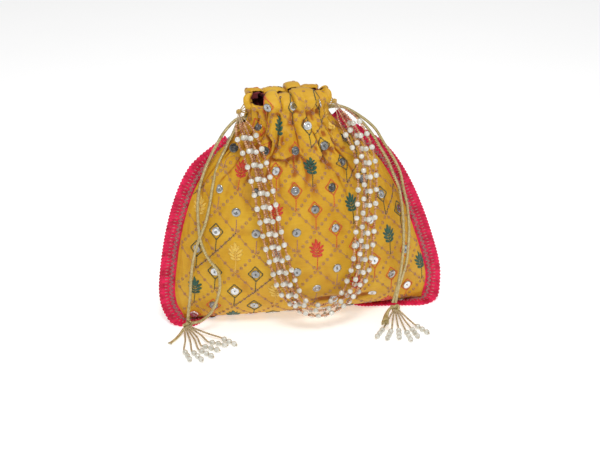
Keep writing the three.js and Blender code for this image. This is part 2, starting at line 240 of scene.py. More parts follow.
def tube(line, radius, sides):
    """A closed tube round a line. radius takes the angle round it and the distance along it."""
    run, side, up = frames_along(line)
    far = distances(line)
    angle = np.arange(sides) * 2 * math.pi / sides
    r = np.broadcast_to(radius(angle[None, :], far[:, None]), (len(line), sides))
    around = np.cos(angle)[None, :, None] * side[:, None, :] + np.sin(angle)[None, :, None] * up[:, None, :]
    return skin(line[:, None, :] + r[..., None] * around, line[0], line[-1])


def join(parts):
    """One set of vertices and faces from several."""
    verts, faces, count = [], [], 0
    for v, f in parts:
        verts.append(v)
        faces += [tuple(i + count for i in face) for face in f]
        count += len(v)
    return np.vstack(verts), faces


def piece(name, shape, material, body="bag"):
    """A mesh object from vertices in millimetres, finished, under its given name and on its body."""
    verts, faces = shape
    mesh = bpy.data.meshes.new(name)
    mesh.from_pydata(((verts + ORIGIN) * MM).tolist(), [], faces)
    mesh.validate()
    mesh.materials.append(material)
    mesh.shade_smooth()
    made = bpy.data.objects.new(name, mesh)
    bpy.context.collection.objects.link(made)
    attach(made, body)
    return made


def cable(angle, far):
    """The outline of three plies laid together, slightly flattened."""
    plies = 0.12 * np.abs(np.sin(1.5 * (angle - far * 2 * math.pi / PLY_PITCH)))
    return CORD / 2 * (0.98 + plies + 0.06 * np.cos(2 * angle))


# Zari is flat metal wound on a yarn core, so its strokes run along the lay; paler flecks in the gold are
# painted glints.
# Strokes are drawn 0.8 mm apart; real zari is about 0.3 mm.
zari_cord, tree, shader = new_material("zari_dori")
where = node(tree, "ShaderNodeTexCoord")
# A wave texture repeats once in a length when its scale is this over the length, along an axis
# and along the diagonal.
WAVE_TURN = 2 * math.pi / 20
DIAGONAL_TURN = 2 * math.pi / (10 * math.sqrt(3))
# The painted glints gather over about 2.4 mm.
STROKES = 0.8
lay = node(tree, "ShaderNodeTexWave", {"bands_direction": "DIAGONAL"}, Vector=where.outputs["Object"],
           Scale=DIAGONAL_TURN / (STROKES * MM), Distortion=3, Detail=2)
painted_glint = node(tree, "ShaderNodeTexNoise", Vector=where.outputs["Object"], Scale=420, Detail=3)
mixed = node(tree, "ShaderNodeMath", {"operation": "MULTIPLY"}, i0=lay.outputs["Color"], i1=painted_glint.outputs[0])
gold = node(tree, "ShaderNodeValToRGB", stops=((0.08, "#9C8038"), (0.5, "#F2E6B4")), i0=mixed.outputs[0])
bump = node(tree, "ShaderNodeBump", Height=mixed.outputs[0], Distance=0.0004, Strength=0.6)
plug(tree, shader, Base_Color=gold.outputs[0], Normal=bump.outputs[0], Metallic=0.45, Roughness=0.38)

CORD_STEP, CORD_SIDES = 0.9, 12
cords = {}
for way, points in ROUTES.items():
    side = way.split("_")[0]
    # Front routes are listed from the knot up and back routes from the slit down. Each cord is laid
    # from the slit down to the knot.
    line = curve_line(points[::-1] if way.endswith("front") else points, CORD_STEP)
    cord = piece(f"cord_{way}", tube(line, cable, CORD_SIDES), zari_cord)
    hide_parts(f"drawstring_{side}")
    cords[way] = cord, line

# The loops inside the casing: the same cords, round the drawn neck between silk and lining.
NECK_TOP = {"left": 191.5, "right": 196.0}
NECK_SEAM = 6.0
NECK_LEAN, NECK_Z = 13.0, 193.0  # the neck stands this far to the left at this height
BASE_LIFT = 2.0  # the cloth starts this high, over the trimming that it stands on
LOOP_WIDTH = 32.0
LOOP_DEPTH = {"left": 14.0, "right": 17.15 - 3.0}
for side, top in NECK_TOP.items():
    sign = -1 if side == "left" else 1
    front, behind = ROUTES[f"{side}_front"][-1], ROUTES[f"{side}_back"][0]
    turn = np.linspace(0, 2 * math.pi, 38)[2:-2]  # the rest of the round is the way out to the slit
    loop = np.stack([
        -NECK_LEAN * (top - BASE_LIFT) / NECK_Z + sign * LOOP_WIDTH * np.cos(turn),
        NECK_SEAM - LOOP_DEPTH[side] * np.sin(turn),
        np.full(len(turn), top),
    ], axis=1)
    line = curve_line([front, *loop, behind], CORD_STEP)
    made = piece(f"casing_loop_{side}", tube(line, cable, CORD_SIDES), zari_cord)
    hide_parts(f"drawstring_{side}")

# ---- Knots and cord ends ----
# Both ends of a cord are tied in one overhand knot at the bottom. The spare end sticks out of the
# knot: a short round stub on the left, and one that has opened into a flat frayed brush on the right.


def trefoil(centre, size, tilt):
    """The line of a pulled overhand knot, about 6 sizes across."""
    t = np.linspace(0, 2 * math.pi, 97)[:-1]
    line = np.stack([
        np.sin(t) + 2 * np.sin(2 * t), -1.15 * np.sin(3 * t), np.cos(t) - 2 * np.cos(2 * t),
    ], axis=1) * size
    c, s = math.cos(tilt), math.sin(tilt)
    line = line @ np.array([(c, s, 0), (-s, c, 0), (0, 0, 1)])
    return line + centre


for side, tilt in (("left", 0.5), ("right", -0.4)):
    line = trefoil(np.array(KNOT[side]), 1.25, tilt)
    tied = tube(line, lambda angle, far: 0.96 * cable(angle, far), CORD_SIDES)
    piece(f"knot_{side}_tied", tied, zari_cord)
    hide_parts(f"knot_{side}")

TAILS = {
    "left": [(-115.5, -28, 6), (-117.2, -28.6, 4.6), (-120.5, -32, 2.4), (-126, -39, 1.6), (-131, -44, 1.6)],
    "right": [(76.2, -43.6, 12.5), (73.8, -44.6, 13.2), (70, -48, 12.2), (66.5, -53, 10.2), (64.5, -58, 8.6)],
}
FRAY = {"left": (1.5, 3.0, 26), "right": (3.1, 6.5, 70)}  # spread, hair length, number of hairs
HAIR = 0.17  # radius of one hair of the fray
ON_TABLE = 0.3  # a thread lying on the table has its middle this high
TAIL_STEP = 0.5
draw = random.Random(7)
for side, points in TAILS.items():
    line = curve_line(points, TAIL_STEP)
    spread, hair, count = FRAY[side]
    total = TAIL_STEP * (len(line) - 1)

    def opened(angle, far, spread=spread, total=total):
        """The cord going over into a flat brush towards its cut end."""
        wide = np.clip((far / total - 0.25) / 0.75, 0, 1) ** 1.2
        flat = (spread / (CORD / 2) - 1) * wide * np.abs(np.cos(angle)) ** 1.5 * 0.9
        return 0.94 * cable(angle, far) * (1 + flat) * (1 - 0.35 * wide * np.abs(np.sin(angle)))

    run, across, up = frames_along(line)
    parts = [tube(line, opened, 16)]
    for k in range(count):
        w = draw.uniform(-1, 1)
        start = line[-3] + across[-1] * w * spread * 0.9 + up[-1] * draw.uniform(-0.4, 0.4)
        bend = across[-1] * w * draw.uniform(0.2, 1.1) + up[-1] * draw.uniform(-0.5, 0.5)
        tip = start + run[-1] * hair * draw.uniform(0.6, 1) + bend
        tip[2] = max(tip[2], ON_TABLE)
        middle = (start + tip) / 2 + bend * 0.2
        middle[2] = max(middle[2], ON_TABLE)
        parts.append(tube(curve_line([start, middle, tip], 0.8), lambda angle, far: HAIR, 5))
    piece(f"cord_end_{side}", join(parts), zari_cord)
    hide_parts(f"cord_tail_{side}")

# ---- Tassels ----
# Under each knot hang six doubled threads of beige metallic yarn, each with three glossy oval
# plastic pearls strung at its end and a small stop knot. They lie fanned out on the table.

# A clear nacre lacquer over white plastic: a sharp highlight and a faint warm cloudiness, its clouds
# about 4 mm across.
pearl_gloss, tree, shader = new_material("pearl_coated_plastic")
where = node(tree, "ShaderNodeTexCoord")
cloud = node(tree, "ShaderNodeTexNoise", Vector=where.outputs["Object"], Scale=260, Detail=2)
nacre = node(tree, "ShaderNodeValToRGB", stops=((0.35, "#CCC8B8"), (0.62, "#ECEAE0")), i0=cloud.outputs[0])
plug(tree, shader, Base_Color=nacre.outputs[0], Roughness=0.16, Coat_Weight=0.9, Coat_Roughness=0.06)

# Beige yarn with a metallic strip spun in: light and dark flecks about 1 mm long.
beige_yarn, tree, shader = new_material("metallic_tassel_yarn")
where = node(tree, "ShaderNodeTexCoord")
fleck = node(tree, "ShaderNodeTexNoise", Vector=where.outputs["Object"], Scale=900, Detail=1)
yarn = node(tree, "ShaderNodeValToRGB", stops=((0.35, "#9E8360"), (0.65, "#E2D0A8")), i0=fleck.outputs[0])
plug(tree, shader, Base_Color=yarn.outputs[0], Metallic=0.2, Roughness=0.45)

PEARL_ROUND = 5.5
PEARLS_PER_STRAND = 3
# Each strand: where its first pearl lies on the table, and which way its pearls run.
TASSEL = {
    "left": [
        ((-83, -50), (0.62, -0.78)), ((-94.5, -53), (0.86, -0.5)), ((-101.5, -58.5), (0.8, -0.6)),
        ((-105.5, -65), (0.6, -0.8)), ((-112.5, -67), (0.4, -0.92)), ((-120, -64), (0.2, -0.98)),
    ],
    "right": [
        ((60, -64), (-0.6, -0.8)), ((67, -68), (-0.5, -0.87)), ((74.5, -68), (-0.24, -0.97)),
        ((80.8, -73), (0, -1)), ((87, -69), (0.12, -0.99)), ((93.5, -65), (0.45, -0.9)),
    ],
}


def bead(centre, axis, radius, length, rounds=10, sides=14, hole=0.14):
    """A bead on a thread: drawn in a little round the hole at both ends."""
    t = np.linspace(0, math.pi, rounds + 1)
    profile = [(hole * radius, -0.43 * length)]
    profile += [(radius * math.sin(a) ** 0.95, -0.5 * length * math.cos(a)) for a in t if math.sin(a) > hole]
    profile += [(hole * radius, 0.43 * length)]
    axis = np.array(axis, float) / np.linalg.norm(axis)
    first = np.cross(axis, (0, 0, 1) if abs(axis[2]) < 0.9 else (0, 1, 0))
    first /= np.linalg.norm(first)
    second = np.cross(axis, first)
    angle = np.arange(sides) * 2 * math.pi / sides
    around = np.cos(angle)[:, None] * first + np.sin(angle)[:, None] * second
    rings = np.array([centre + r * around + h * axis for r, h in profile])
    return skin(rings, centre + profile[0][1] * axis, centre + profile[-1][1] * axis)


def two_ply(radius, pitch):
    """The outline of two threads twisted together."""
    return lambda angle, far: radius * (0.72 + 0.28 * np.abs(np.cos(angle - far * math.pi / pitch)))


strands = {"left": [], "right": []}
for side, rows in TASSEL.items():
    knot = np.array(KNOT[side], float)
    for i, ((x, y), way) in enumerate(rows):
        r = PEARL_ROUND / 2
        pitch = PEARL_ROUND + 0.45
        first = np.array((x, y, r))
        turn = math.radians(-28 - 21 * i if side == "left" else -140 + 21 * i)
        start = knot + (4 * math.cos(turn), 4 * math.sin(turn), -1.5)
        middle = start * 0.5 + first * 0.5
        middle[2] = start[2] * 0.38 + r * 0.62
        run = np.array((*way, 0)) / math.hypot(*way)
        end = first + run * ((PEARLS_PER_STRAND - 1) * pitch + r + 0.6)
        line = curve_line([knot, start, middle, first - run * (r + 1), first, end], 0.45)
        number = i + 1
        doubled = tube(line, two_ply(0.95, 2.2), 8)
        yarn_piece = piece(f"tassel_yarn_{side}_{number}", doubled, beige_yarn)
        stop = bead(end, run, 0.8, 1.3, 6, 8)
        places = [first + run * k * pitch for k in range(PEARLS_PER_STRAND)]
        pearls = [bead(place, run, r * 0.96, PEARL_ROUND * 0.98) for place in places]
        strung = join(pearls + [stop])
        pearl_piece = piece(f"tassel_pearls_{side}_{number}", strung, pearl_gloss)
        for made in (yarn_piece, pearl_piece):
            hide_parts(f"tassel_{side}_{number}")
            strands[side].append(made)

for way, (cord, line) in cords.items():
    side = way.split("_")[0]

# ---- Silk panels ----
# Front and back are cut from one embroidered silk, 245 by 255 mm each, sewn together down the sides
# and along the base, and gathered on the drawstrings into folds with a frill standing above them.

MOUTH_Z = 214.0
HALF_WIDTH = [
    (0, 113), (15, 118), (30, 118.5), (60, 112.5), (90, 104), (118, 93), (139, 81), (155, 67),
    (167, 53), (178, 43), (187, 37.5), (193, 35), (203, 35), (214, 33),
]
DEPTH = {
    "front": [
        (0, 9), (6, 24), (20, 36), (45, 44), (80, 43), (120, 35), (150, 27), (170, 21.5), (187, 17.5),
        (193, 17), (203, 18), (214, 17),
    ],
    "back": [
        (0, 9), (6, 22), (20, 32), (45, 40), (80, 40), (120, 32), (150, 25.5), (170, 20.5), (187, 17.5),
        (193, 17), (203, 18), (214, 17),
    ],
}
SEAM_GAP = 0.15  # half the gap between the panels at their seams
SLIT_HALF, SLIT_FROM = 4.7, 178.0
# Where the frill is turned down at the front left, as an angle and a half width, and where the left
# shoulder's cloth folds out, as a height, a half height and how far.
TURNED_AT, TURNED_HALF = -0.86, 0.3
SHOULDER_AT, SHOULDER_HALF, SHOULDER_OUT = 174, 10, 3.5
# Where the valleys between the gathers lie, as angles round the neck, and how far each gather stands
# out, below the cord and in the frill above it.
GATHERS = {
    "front": ([-1.57, -1.2, -0.92, -0.6, -0.3, 0.04, 0.36, 0.7, 1.0, 1.3, 1.57],
              [0.7, 1.0, 0.8, 1.15, 0.7, 1.1, 0.8, 1.2, 0.8, 0.7]),
    "back": ([-1.57, -1.25, -0.9, -0.58, -0.2, 0.1, 0.45, 0.75, 1.08, 1.35, 1.57],
             [0.8, 1.1, 0.75, 1.1, 0.9, 1.2, 0.7, 1.0, 0.9, 0.6]),
}
FRILL = {
    "front": ([-1.57, -1.16, -0.66, -0.26, 0.1, 0.72, 1.18, 1.57], [0.9, 0.65, 1.15, 0.6, 1.3, 0.7, 0.85]),
    "back": ([-1.57, -1.12, -0.6, 0.02, 0.42, 1.0, 1.57], [0.25, 1.1, 0.75, 1.15, 0.85, 0.9]),
}
GATHER_OUT = [
    (0, 0), (85, 0), (112, 0.5), (135, 1.5), (150, 2.8), (165, 4.0), (180, 4.2), (187, 2.8), (196, 2.4),
    (214, 3),
]
FRILL_OUT = [(0, 0), (196, 1.5), (203, 4.4), (209, 6.0), (212, 3.0), (214, 0.4)]
# The frill rolls over inwards: how deep it is and how high it stands at each height on the panel.
ROLLED_DEPTH = [(196, 0), (203, 0.5), (206, 1.0), (209, -2.0), (212, -10.0), (214, -15.6)]
ROLLED_HEIGHT = [(0, 0), (203, 0), (206, 0.6), (210, 1.2), (212, 1.0), (214, -1.5)]


def along(rows, z):
    """A smooth curve through a list of (height, value) rows."""
    h, v = np.array(rows, float).T
    z = np.clip(z, h[0], h[-1])
    i = np.clip(np.searchsorted(h, z, side="right") - 1, 0, len(h) - 2)

    def slope(k):
        a, b = np.maximum(k - 1, 0), np.minimum(k + 1, len(h) - 1)
        return (v[b] - v[a]) / (h[b] - h[a])

    w = h[i + 1] - h[i]
    t = (z - h[i]) / w
    s = 1 - t
    left = (1 + 2 * t) * s * s * v[i] + t * s * s * w * slope(i)
    return left + t * t * (3 - 2 * t) * v[i + 1] - t * t * s * w * slope(i + 1)


def ease(x, low, high):
    """0 below low, 1 above high and smooth between."""
    t = np.clip((x - low) / (high - low), 0, 1)
    return t * t * (3 - 2 * t)


def seam_y(u, z):
    """The side seams' plane, bowed forward at the bottom corners."""
    curl = np.maximum(0, 1 - z / 140) ** 1.5
    return 2 + 4 * np.minimum(z / 190, 1) - (10.5 * u * u + 3.5 * u) * curl


def lobes(table, theta):
    """Rounded gathers with sharp valleys between them, and the sideways lean of each."""
    valleys, heights = np.array(table[0]), np.array(table[1])
    i = np.clip(np.searchsorted(valleys, theta, side="right") - 1, 0, len(heights) - 1)
    f = np.clip((theta - valleys[i]) / (valleys[i + 1] - valleys[i]), 0, 1)
    return heights[i] * np.sin(math.pi * f) ** 0.7, heights[i] * np.sin(2 * math.pi * f)


ACROSS = 190  # quads across a panel
HEIGHTS = np.concatenate([np.linspace(0, 20, 16), np.linspace(22, 118, 52), np.linspace(119, MOUTH_Z, 100)])
THETA = np.linspace(-math.pi / 2, math.pi / 2, ACROSS + 1)


def wall(side):
    """The panel's outer face as a grid of points: rows go up the bag, columns from left to right."""
    sign = -1 if side == "front" else 1
    z, theta = np.meshgrid(HEIGHTS, THETA, indexing="ij")
    wander = np.array([
        [noise.noise(Vector((a * 1.5, h * 0.03, 5.0 * sign))) for a in THETA[::10]] for h in HEIGHTS[::4]
    ])
    rows = np.linspace(0, wander.shape[0] - 1, len(HEIGHTS))
    cols = np.linspace(0, wander.shape[1] - 1, len(THETA))
    wander = np.array([np.interp(cols, range(wander.shape[1]), row) for row in wander])
    wander = np.array([np.interp(rows, range(wander.shape[0]), col) for col in wander.T]).T
    inner = 1 - (np.abs(theta) / (math.pi / 2)) ** 6
    # The gathers wander sideways below the cord, and a little in the frill.
    low_theta = theta + 0.22 * wander * inner * ease(-z, -190, -140)
    low_out, low_lean = lobes(GATHERS[side], np.clip(low_theta, -1.57, 1.57))
    top_out, top_lean = lobes(FRILL[side], np.clip(theta + 0.12 * wander * inner, -1.57, 1.57))
    frill = ease(z, 196, 203)
    out = low_out * along(GATHER_OUT, z) * (1 - frill) + top_out * along(FRILL_OUT, z) * frill
    lean = -low_lean * ease(z, 140, 178) * (1 - frill) * 1.3 - top_lean * ease(z, 199, 209) * 2.6 * frill

    u = np.sin(theta)
    width = along(HALF_WIDTH, z)
    # The two panels meet at the side seams, and part in a slit above them that narrows at the top.
    open_slit = ease(z, SLIT_FROM, SLIT_FROM + 6) * (1 - 0.75 * ease(z, 204, 213))
    gap = SEAM_GAP + (SLIT_HALF - SEAM_GAP) * open_slit
    # At the front left the frill is turned down and shows the dark inside of the bag.
    is_front = 1 if side == "front" else 0
    turned_down = np.exp(-((theta - TURNED_AT) / TURNED_HALF) ** 4) * is_front
    rolled = np.where(z > 196, along(ROLLED_DEPTH, z), 0) * (1 - 0.8 * turned_down)
    depth = np.maximum(gap, along(DEPTH[side], z) + rolled)
    pillow = np.maximum(0, 1 - np.abs(u) ** 2.2) ** 0.8
    blend = ease(z, 130, 180)
    full = pillow * (1 - blend) + np.cos(theta) * blend
    middle = -NECK_LEAN * z / NECK_Z
    reach = np.hypot(u, full)
    reach[reach == 0] = 1
    push = out + extra_folds(side, theta, z)
    # On the left the shoulder's cloth is folded out over the top of the trimming.
    shoulder = SHOULDER_OUT * np.exp(-((z - SHOULDER_AT) / SHOULDER_HALF) ** 2)
    shoulder *= np.maximum(0, -u) ** 3 * is_front
    x = middle + width * u - shoulder + push * u / reach + lean * full / reach
    y = seam_y(u, z) + sign * (gap + (depth - gap) * full + push * full / reach)
    raised = (top_out - 0.75) * 5.0 * ease(z, 201, 211) + along(ROLLED_HEIGHT, z) + 2.2 * wander * frill
    raised -= 9.0 * turned_down * ease(z, 201, 213)
    grid = np.stack([x, y, z + BASE_LIFT + raised], axis=-1)
    under = grid[:1].copy()
    under[0, :, 1] = seam_y(u[0], 0) + sign * SEAM_GAP
    return np.concatenate([under, grid])


def rough_field(across, up, seed, octaves):
    """Smooth noise over the panel: rows go up, columns from left to right, as in its grid."""
    field = np.array([
        [noise.fractal(Vector((a * across, h * up, seed)), 0.9, 2.1, octaves) for a in THETA]
        for h in HEIGHTS[::3]
    ])
    rows = np.linspace(0, len(field) - 1, len(HEIGHTS))
    return np.array([np.interp(rows, range(len(field)), column) for column in field.T]).T


# The lower edge of the bib under the neck, as (angle round the neck, height) rows.
BIB_EDGE = [
    (-0.62, 186), (-0.45, 176), (-0.34, 167), (-0.16, 161), (0.05, 164), (0.3, 160), (0.55, 168), (0.8, 172),
    (1.05, 184),
]


def extra_folds(side, theta, z):
    """The folds that aren't part of the even gathers: the bib under the neck, creases and wrinkles."""
    seed = 11.0 if side == "front" else 23.0
    push = np.zeros_like(z)
    crumple = rough_field(3.4, 0.045, seed + 3, 2)
    if side == "front":
        # The cloth under the channel flops forward in a bib with a ragged lower edge.
        edge = along(BIB_EDGE, theta) + 9 * crumple
        window = ease(theta, -0.66, -0.4) * (1 - ease(theta, 0.8, 1.1))
        above = np.clip((z - edge) / np.maximum(196 - edge, 1), 0, 1)
        under = edge - z
        flap = np.where(z > edge, (1 - above) ** 0.6, np.exp(-(under / 2.6) ** 2))
        push += window * (3.8 * flap * (1 + 1.6 * crumple) - 1.6 * np.exp(-((under - 6) / 4.5) ** 2))
        # Low in the belly the cloth tucks under itself.
        tuck = 23 - 5 * theta
        tucked = ease(theta, -0.1, 0.15) * (1 - ease(theta, 0.45, 0.62))
        push -= 4.0 * np.exp(-((z - tuck) / 3.2) ** 2) * tucked
    calm = 1 - (np.abs(theta) / (math.pi / 2)) ** 8
    sharp = 0.5 - 2.2 * np.abs(rough_field(4.6, 0.05, seed + 8, 2))
    grain = rough_field(4.2, 0.022, seed, 4) * (1.3 + 1.5 * ease(z, 90, 160)) * (1 - 0.6 * ease(z, 178, 190))
    grain += sharp * (0.8 + 1.5 * ease(z, 130, 172) * (1 - 0.5 * ease(z, 184, 192) * (1 - ease(z, 198, 204))))
    return push + grain * calm * ease(z, 0, 10)


walls = {side: wall(side) for side in ("front", "back")}


def flat_size(grid, side):
    """Each grid point's place on the cloth before it was gathered: across from the middle, and up."""
    across = np.array([distances(row) for row in grid])
    centre = ACROSS // 2
    across -= across[:, centre:centre + 1]
    half = (across[:, -1] - across[:, 0]) / 2
    widest = half.max()
    across *= ((widest / half) ** 0.35)[:, None]
    middle = np.concatenate([[0], along(DEPTH[side], HEIGHTS)])
    height = np.concatenate([[0], HEIGHTS])
    up = np.concatenate([[0], np.cumsum(np.hypot(np.diff(middle), np.diff(height)))])
    return across, np.repeat(up[:, None], ACROSS + 1, axis=1)


cloth = {side: flat_size(walls[side], side) for side in walls}


def press_under(grid, lines):
    """Pushes the front's cloth back from the bead strands that lie on it."""
    reached, clear, flat_half = 5.5, 2.95, 2.2  # from a strand's middle: how wide, how deep, and flat part
    points = grid.reshape(-1, 3).copy()
    for line in lines:
        for p in line[::3]:
            near = np.hypot(points[:, 0] - p[0], points[:, 2] - p[2])
            spot = (near < reached) & (points[:, 1] < 12) & (np.abs(points[:, 1] - p[1]) < 14)
            limit = p[1] + clear - 0.9 * np.maximum(0, near[spot] - flat_half)
            points[spot, 1] = np.maximum(points[spot, 1], limit)
    return points.reshape(grid.shape)


def cloth_mesh(name, grid, flat, material, thickness):
    """A sheet of cloth through a grid, with its flat place as the UV map, and a real thickness."""
    rows, cols = grid.shape[:2]
    index = np.arange(rows * cols).reshape(rows, cols)
    faces = np.stack([index[:-1, :-1], index[:-1, 1:], index[1:, 1:], index[1:, :-1]], axis=-1).reshape(-1, 4)
    if grid[rows // 2, cols // 2, 1] > grid[rows // 2, 0, 1]:
        faces = faces[:, ::-1]
    made = piece(name, (grid.reshape(-1, 3), faces.tolist()), material)
    mesh = made.data
    places = np.stack([flat[0].ravel(), flat[1].ravel()], axis=1) * MM
    layer = mesh.uv_layers.new(name="cut")
    corner = np.zeros(len(mesh.loops), np.int32)
    mesh.loops.foreach_get("vertex_index", corner)
    layer.data.foreach_set("uv", places[corner].astype(np.float32).ravel())
    shell = made.modifiers.new("thickness", "SOLIDIFY")
    shell.thickness = thickness * MM
    shell.offset = -1
    return made


# Where the five strands of the handle lie against the front: one hanging loop from the left end of
# the neck to the right end, flat in its arms and stacked at the bottom.
PEARL, PEARL_PITCH, BARE_END = 5.0, 12.6, 15.0
HANDLE_PATH = [
    (-56.5, -5, 194), (-53.5, -13, 183), (-48, -24, 166), (-43.5, -32, 142), (-39.5, -38, 115),
    (-35, -42, 89), (-30.5, -44, 70), (-24, -46, 48), (-13, -47, 29), (1, -48, 21), (15, -47, 22),
    (30, -46, 31), (39, -45, 45), (43, -44, 64), (45.5, -42, 87), (48.5, -35, 116), (50.5, -29, 136),
    (50, -22, 157), (46, -14, 173), (39, -7, 186), (32, -3, 196),
]
# Each strand: its place across the bundle and out from the cloth, in the arms and then at the bottom.
BUNDLE = [
    (-8.3, 4.8, -5.7, 0), (-2.8, 4.8, -2.8, 4.8), (0, 0, 0, 0), (2.8, 4.8, 2.8, 4.8), (8.3, 4.8, 5.7, 0),
]
HUG = 44  # below this height the strands hang free of the rounded belly
PLEAT_OUT = [(0, 0), (135, 0), (160, 1.2), (178, 2.2), (187, 1.2), (196, 1.2), (205, 2.6), (214, 3.6)]


def plain_front(x, z):
    """How far forward the evenly pleated front reaches at a place seen from the front."""
    u = np.clip((x + NECK_LEAN * z / NECK_Z) / along(HALF_WIDTH, z), -1, 1)
    fold = (0.5 - 0.5 * np.cos(np.arcsin(u) * 12)) * (1 - ease(np.abs(u), 0.75, 1))
    blend = ease(z, 130, 180)
    full = np.maximum(0, 1 - np.abs(u) ** 2.2) ** 0.8 * (1 - blend) + np.sqrt(1 - u * u) * blend
    pleat = fold * along(PLEAT_OUT, z) * full / np.maximum(np.hypot(u, full), 1e-6)
    return seam_y(u, z) - (SEAM_GAP + (along(DEPTH["front"], z) - SEAM_GAP) * full + pleat)


def strand_line(side, out, low_side, low_out):
    """One strand of the bundle, as points half a millimetre apart."""
    rough = curve_line(HANDLE_PATH, 1)
    p = curve_line(HANDLE_PATH, (len(rough) - 1) / 40)
    run = np.gradient(p, axis=0)
    run /= np.linalg.norm(run, axis=1)[:, None]
    across = np.cross(run, (0, -1, 0))
    across /= np.linalg.norm(across, axis=1)[:, None]
    forward = np.cross(across, run)
    t = np.linspace(0, 1, len(p))
    low = 1 - ease(p[:, 2], 22, 70)
    drawn = 0.42 + 0.58 * ease(np.minimum(t, 1 - t), 0, 0.036)
    sideways = (side + (low_side - side) * ease(low, 0.5, 1)) * drawn
    outward = (out + (low_out - out) * ease(low, 0, 0.5)) * drawn
    p = p + across * sideways[:, None]
    ground = np.maximum(p[:, 2] - BASE_LIFT, HUG)
    slope_x = (plain_front(p[:, 0] + 1, ground) - plain_front(p[:, 0] - 1, ground)) / 2
    slope_z = (plain_front(p[:, 0], ground + 1) - plain_front(p[:, 0], ground - 1)) / 2
    clear = (PEARL / 2 + 0.8) * np.sqrt(1 + slope_x ** 2 + slope_z ** 2)
    p[:, 1] = np.minimum(p[:, 1], plain_front(p[:, 0], ground) - clear)
    return curve_line(p + forward * outward[:, None], 0.5)


bead_lines = [strand_line(*place) for place in BUNDLE]
walls["front"] = press_under(walls["front"], bead_lines)

# A satin-woven silk with slubs: golden yellow, with painted shade mixing it to deep orange in the folds.
# Threads are drawn 0.5 mm apart; real ones are 0.12 mm.
THREADS = 0.5
golden_silk, tree, shader = new_material("slubbed_golden_silk")
cut = node(tree, "ShaderNodeUVMap", {"uv_map": "cut"})
warp, weft = [
    node(tree, "ShaderNodeTexWave", {"bands_direction": way}, Vector=cut.outputs[0],
         Scale=WAVE_TURN / (THREADS * MM), Distortion=0.6, Detail=1)
    for way in ("X", "Y")
]
weave = node(tree, "ShaderNodeMath", {"operation": "MAXIMUM"}, i0=warp.outputs["Color"],
             i1=weft.outputs["Color"])
# Slubs are thick places in the weft, about 17 mm long and 1 mm wide.
stretch = node(tree, "ShaderNodeMapping", Vector=cut.outputs[0], Scale=(60, 900, 1))
slubs = node(tree, "ShaderNodeTexNoise", Vector=stretch.outputs[0], Scale=1, Detail=3, Roughness=0.6)
cloudy = node(tree, "ShaderNodeTexNoise", Vector=cut.outputs[0], Scale=28, Detail=3)
tone = node(tree, "ShaderNodeMath", {"operation": "MULTIPLY_ADD"}, i0=slubs.outputs[0], i1=0.35,
            i2=cloudy.outputs[0])
silk_ramp = node(tree, "ShaderNodeValToRGB", stops=((0.42, "#CC920C"), (0.92, "#E8B830")), i0=tone.outputs[0])
# Painted fold shade: deep orange mixed into the silk by how deep each point lies in a fold.
painted_fold_shade = node(tree, "ShaderNodeAttribute", {"attribute_name": "painted_fold_shade"})
fold_shaded = node(tree, "ShaderNodeMix", {"data_type": "RGBA"}, i0=painted_fold_shade.outputs["Fac"],
                i6=silk_ramp.outputs[0], i7=hex_colour("#A85402"))
weave_bump = node(tree, "ShaderNodeBump", Height=weave.outputs[0], Distance=0.0001, Strength=0.35)
slub_bump = node(tree, "ShaderNodeBump", Height=slubs.outputs[0], Distance=0.0006, Strength=0.5,
                 Normal=weave_bump.outputs[0])
# Pressed-in creases, about 17 mm apart, left from folding and stuffing.
creases = node(tree, "ShaderNodeTexNoise", {"noise_type": "RIDGED_MULTIFRACTAL"}, Vector=cut.outputs[0],
               Scale=60, Detail=4, Roughness=0.55)
crease_bump = node(tree, "ShaderNodeBump", Height=creases.outputs[0], Distance=0.004, Strength=0.5,
                   Normal=slub_bump.outputs[0])
plug(tree, shader, Base_Color=fold_shaded.outputs[2], Normal=crease_bump.outputs[0], Roughness=0.44,
     Specular_IOR_Level=0.32, Sheen_Weight=0.08, Sheen_Roughness=0.4)


def hollows(grid):
    """How deep each point of a grid lies in a fold: 0 on open cloth, 1 in a sharp valley."""
    def blurred(a, n):
        for axis in (0, 1):
            pad = np.concatenate([a.take([0], axis)] * n + [a] + [a.take([-1], axis)] * n, axis)
            total = np.cumsum(np.concatenate([0 * pad.take([0], axis), pad], axis), axis)
            length, window = a.shape[axis], 2 * n + 1
            a = (total.take(range(window, window + length), axis) - total.take(range(length), axis)) / window
        return a

    run = np.gradient(grid, axis=1)
    rise = np.gradient(grid, axis=0)
    normal = np.cross(run, rise)
    normal /= np.maximum(np.linalg.norm(normal, axis=2), 1e-6)[..., None]
    return sum(((blurred(grid, n) - grid) * normal).sum(axis=2) / scale for n, scale in ((3, 0.8), (7, 2.5)))


panels = {}
for side, grid in walls.items():
    panels[side] = cloth_mesh(f"{side}_silk", grid, cloth[side], golden_silk, 0.7)
    # Painted shade for the silk's folds: each point's fold depth, stronger towards the neck, darkens it
    # towards deep orange.
    depth = hollows(grid) * (1 if side == "front" else -1)
    fold_shade_strength = (0.4 + 1.0 * ease(np.concatenate([[0], HEIGHTS]), 120, 165))[:, None]
    shade = panels[side].data.attributes.new("painted_fold_shade", "FLOAT", "POINT")
    dark = np.clip((depth * 1.1 - 0.05) * fold_shade_strength, 0, 0.9)
    shade.data.foreach_set("value", dark.astype(np.float32).ravel())
    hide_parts(f"{side}_panel")

# ---- Embroidery ----
# The silk was machine embroidered before it was cut: a lattice on point, chain stitched one way and
# ring sequins alone the other, and in each diamond a stem that carries a leaf, a stitched frame round
# a mirror, or a bare mirror disc.

CELL_ACROSS, CELL_UP = 18.75, 19.0  # half a diamond's width and height
SKEW = 1.45  # how far each row runs sideways: the cloth was cut a little off its grain
CELLS = 9  # each way from the first motif, enough to pass every edge
SEAM_MARGIN, NECK_MARGIN, NECK_FROM = 4.5, 14, 205  # how far motifs keep from a seam, more at the neck
FRAME_HALF = 7.4
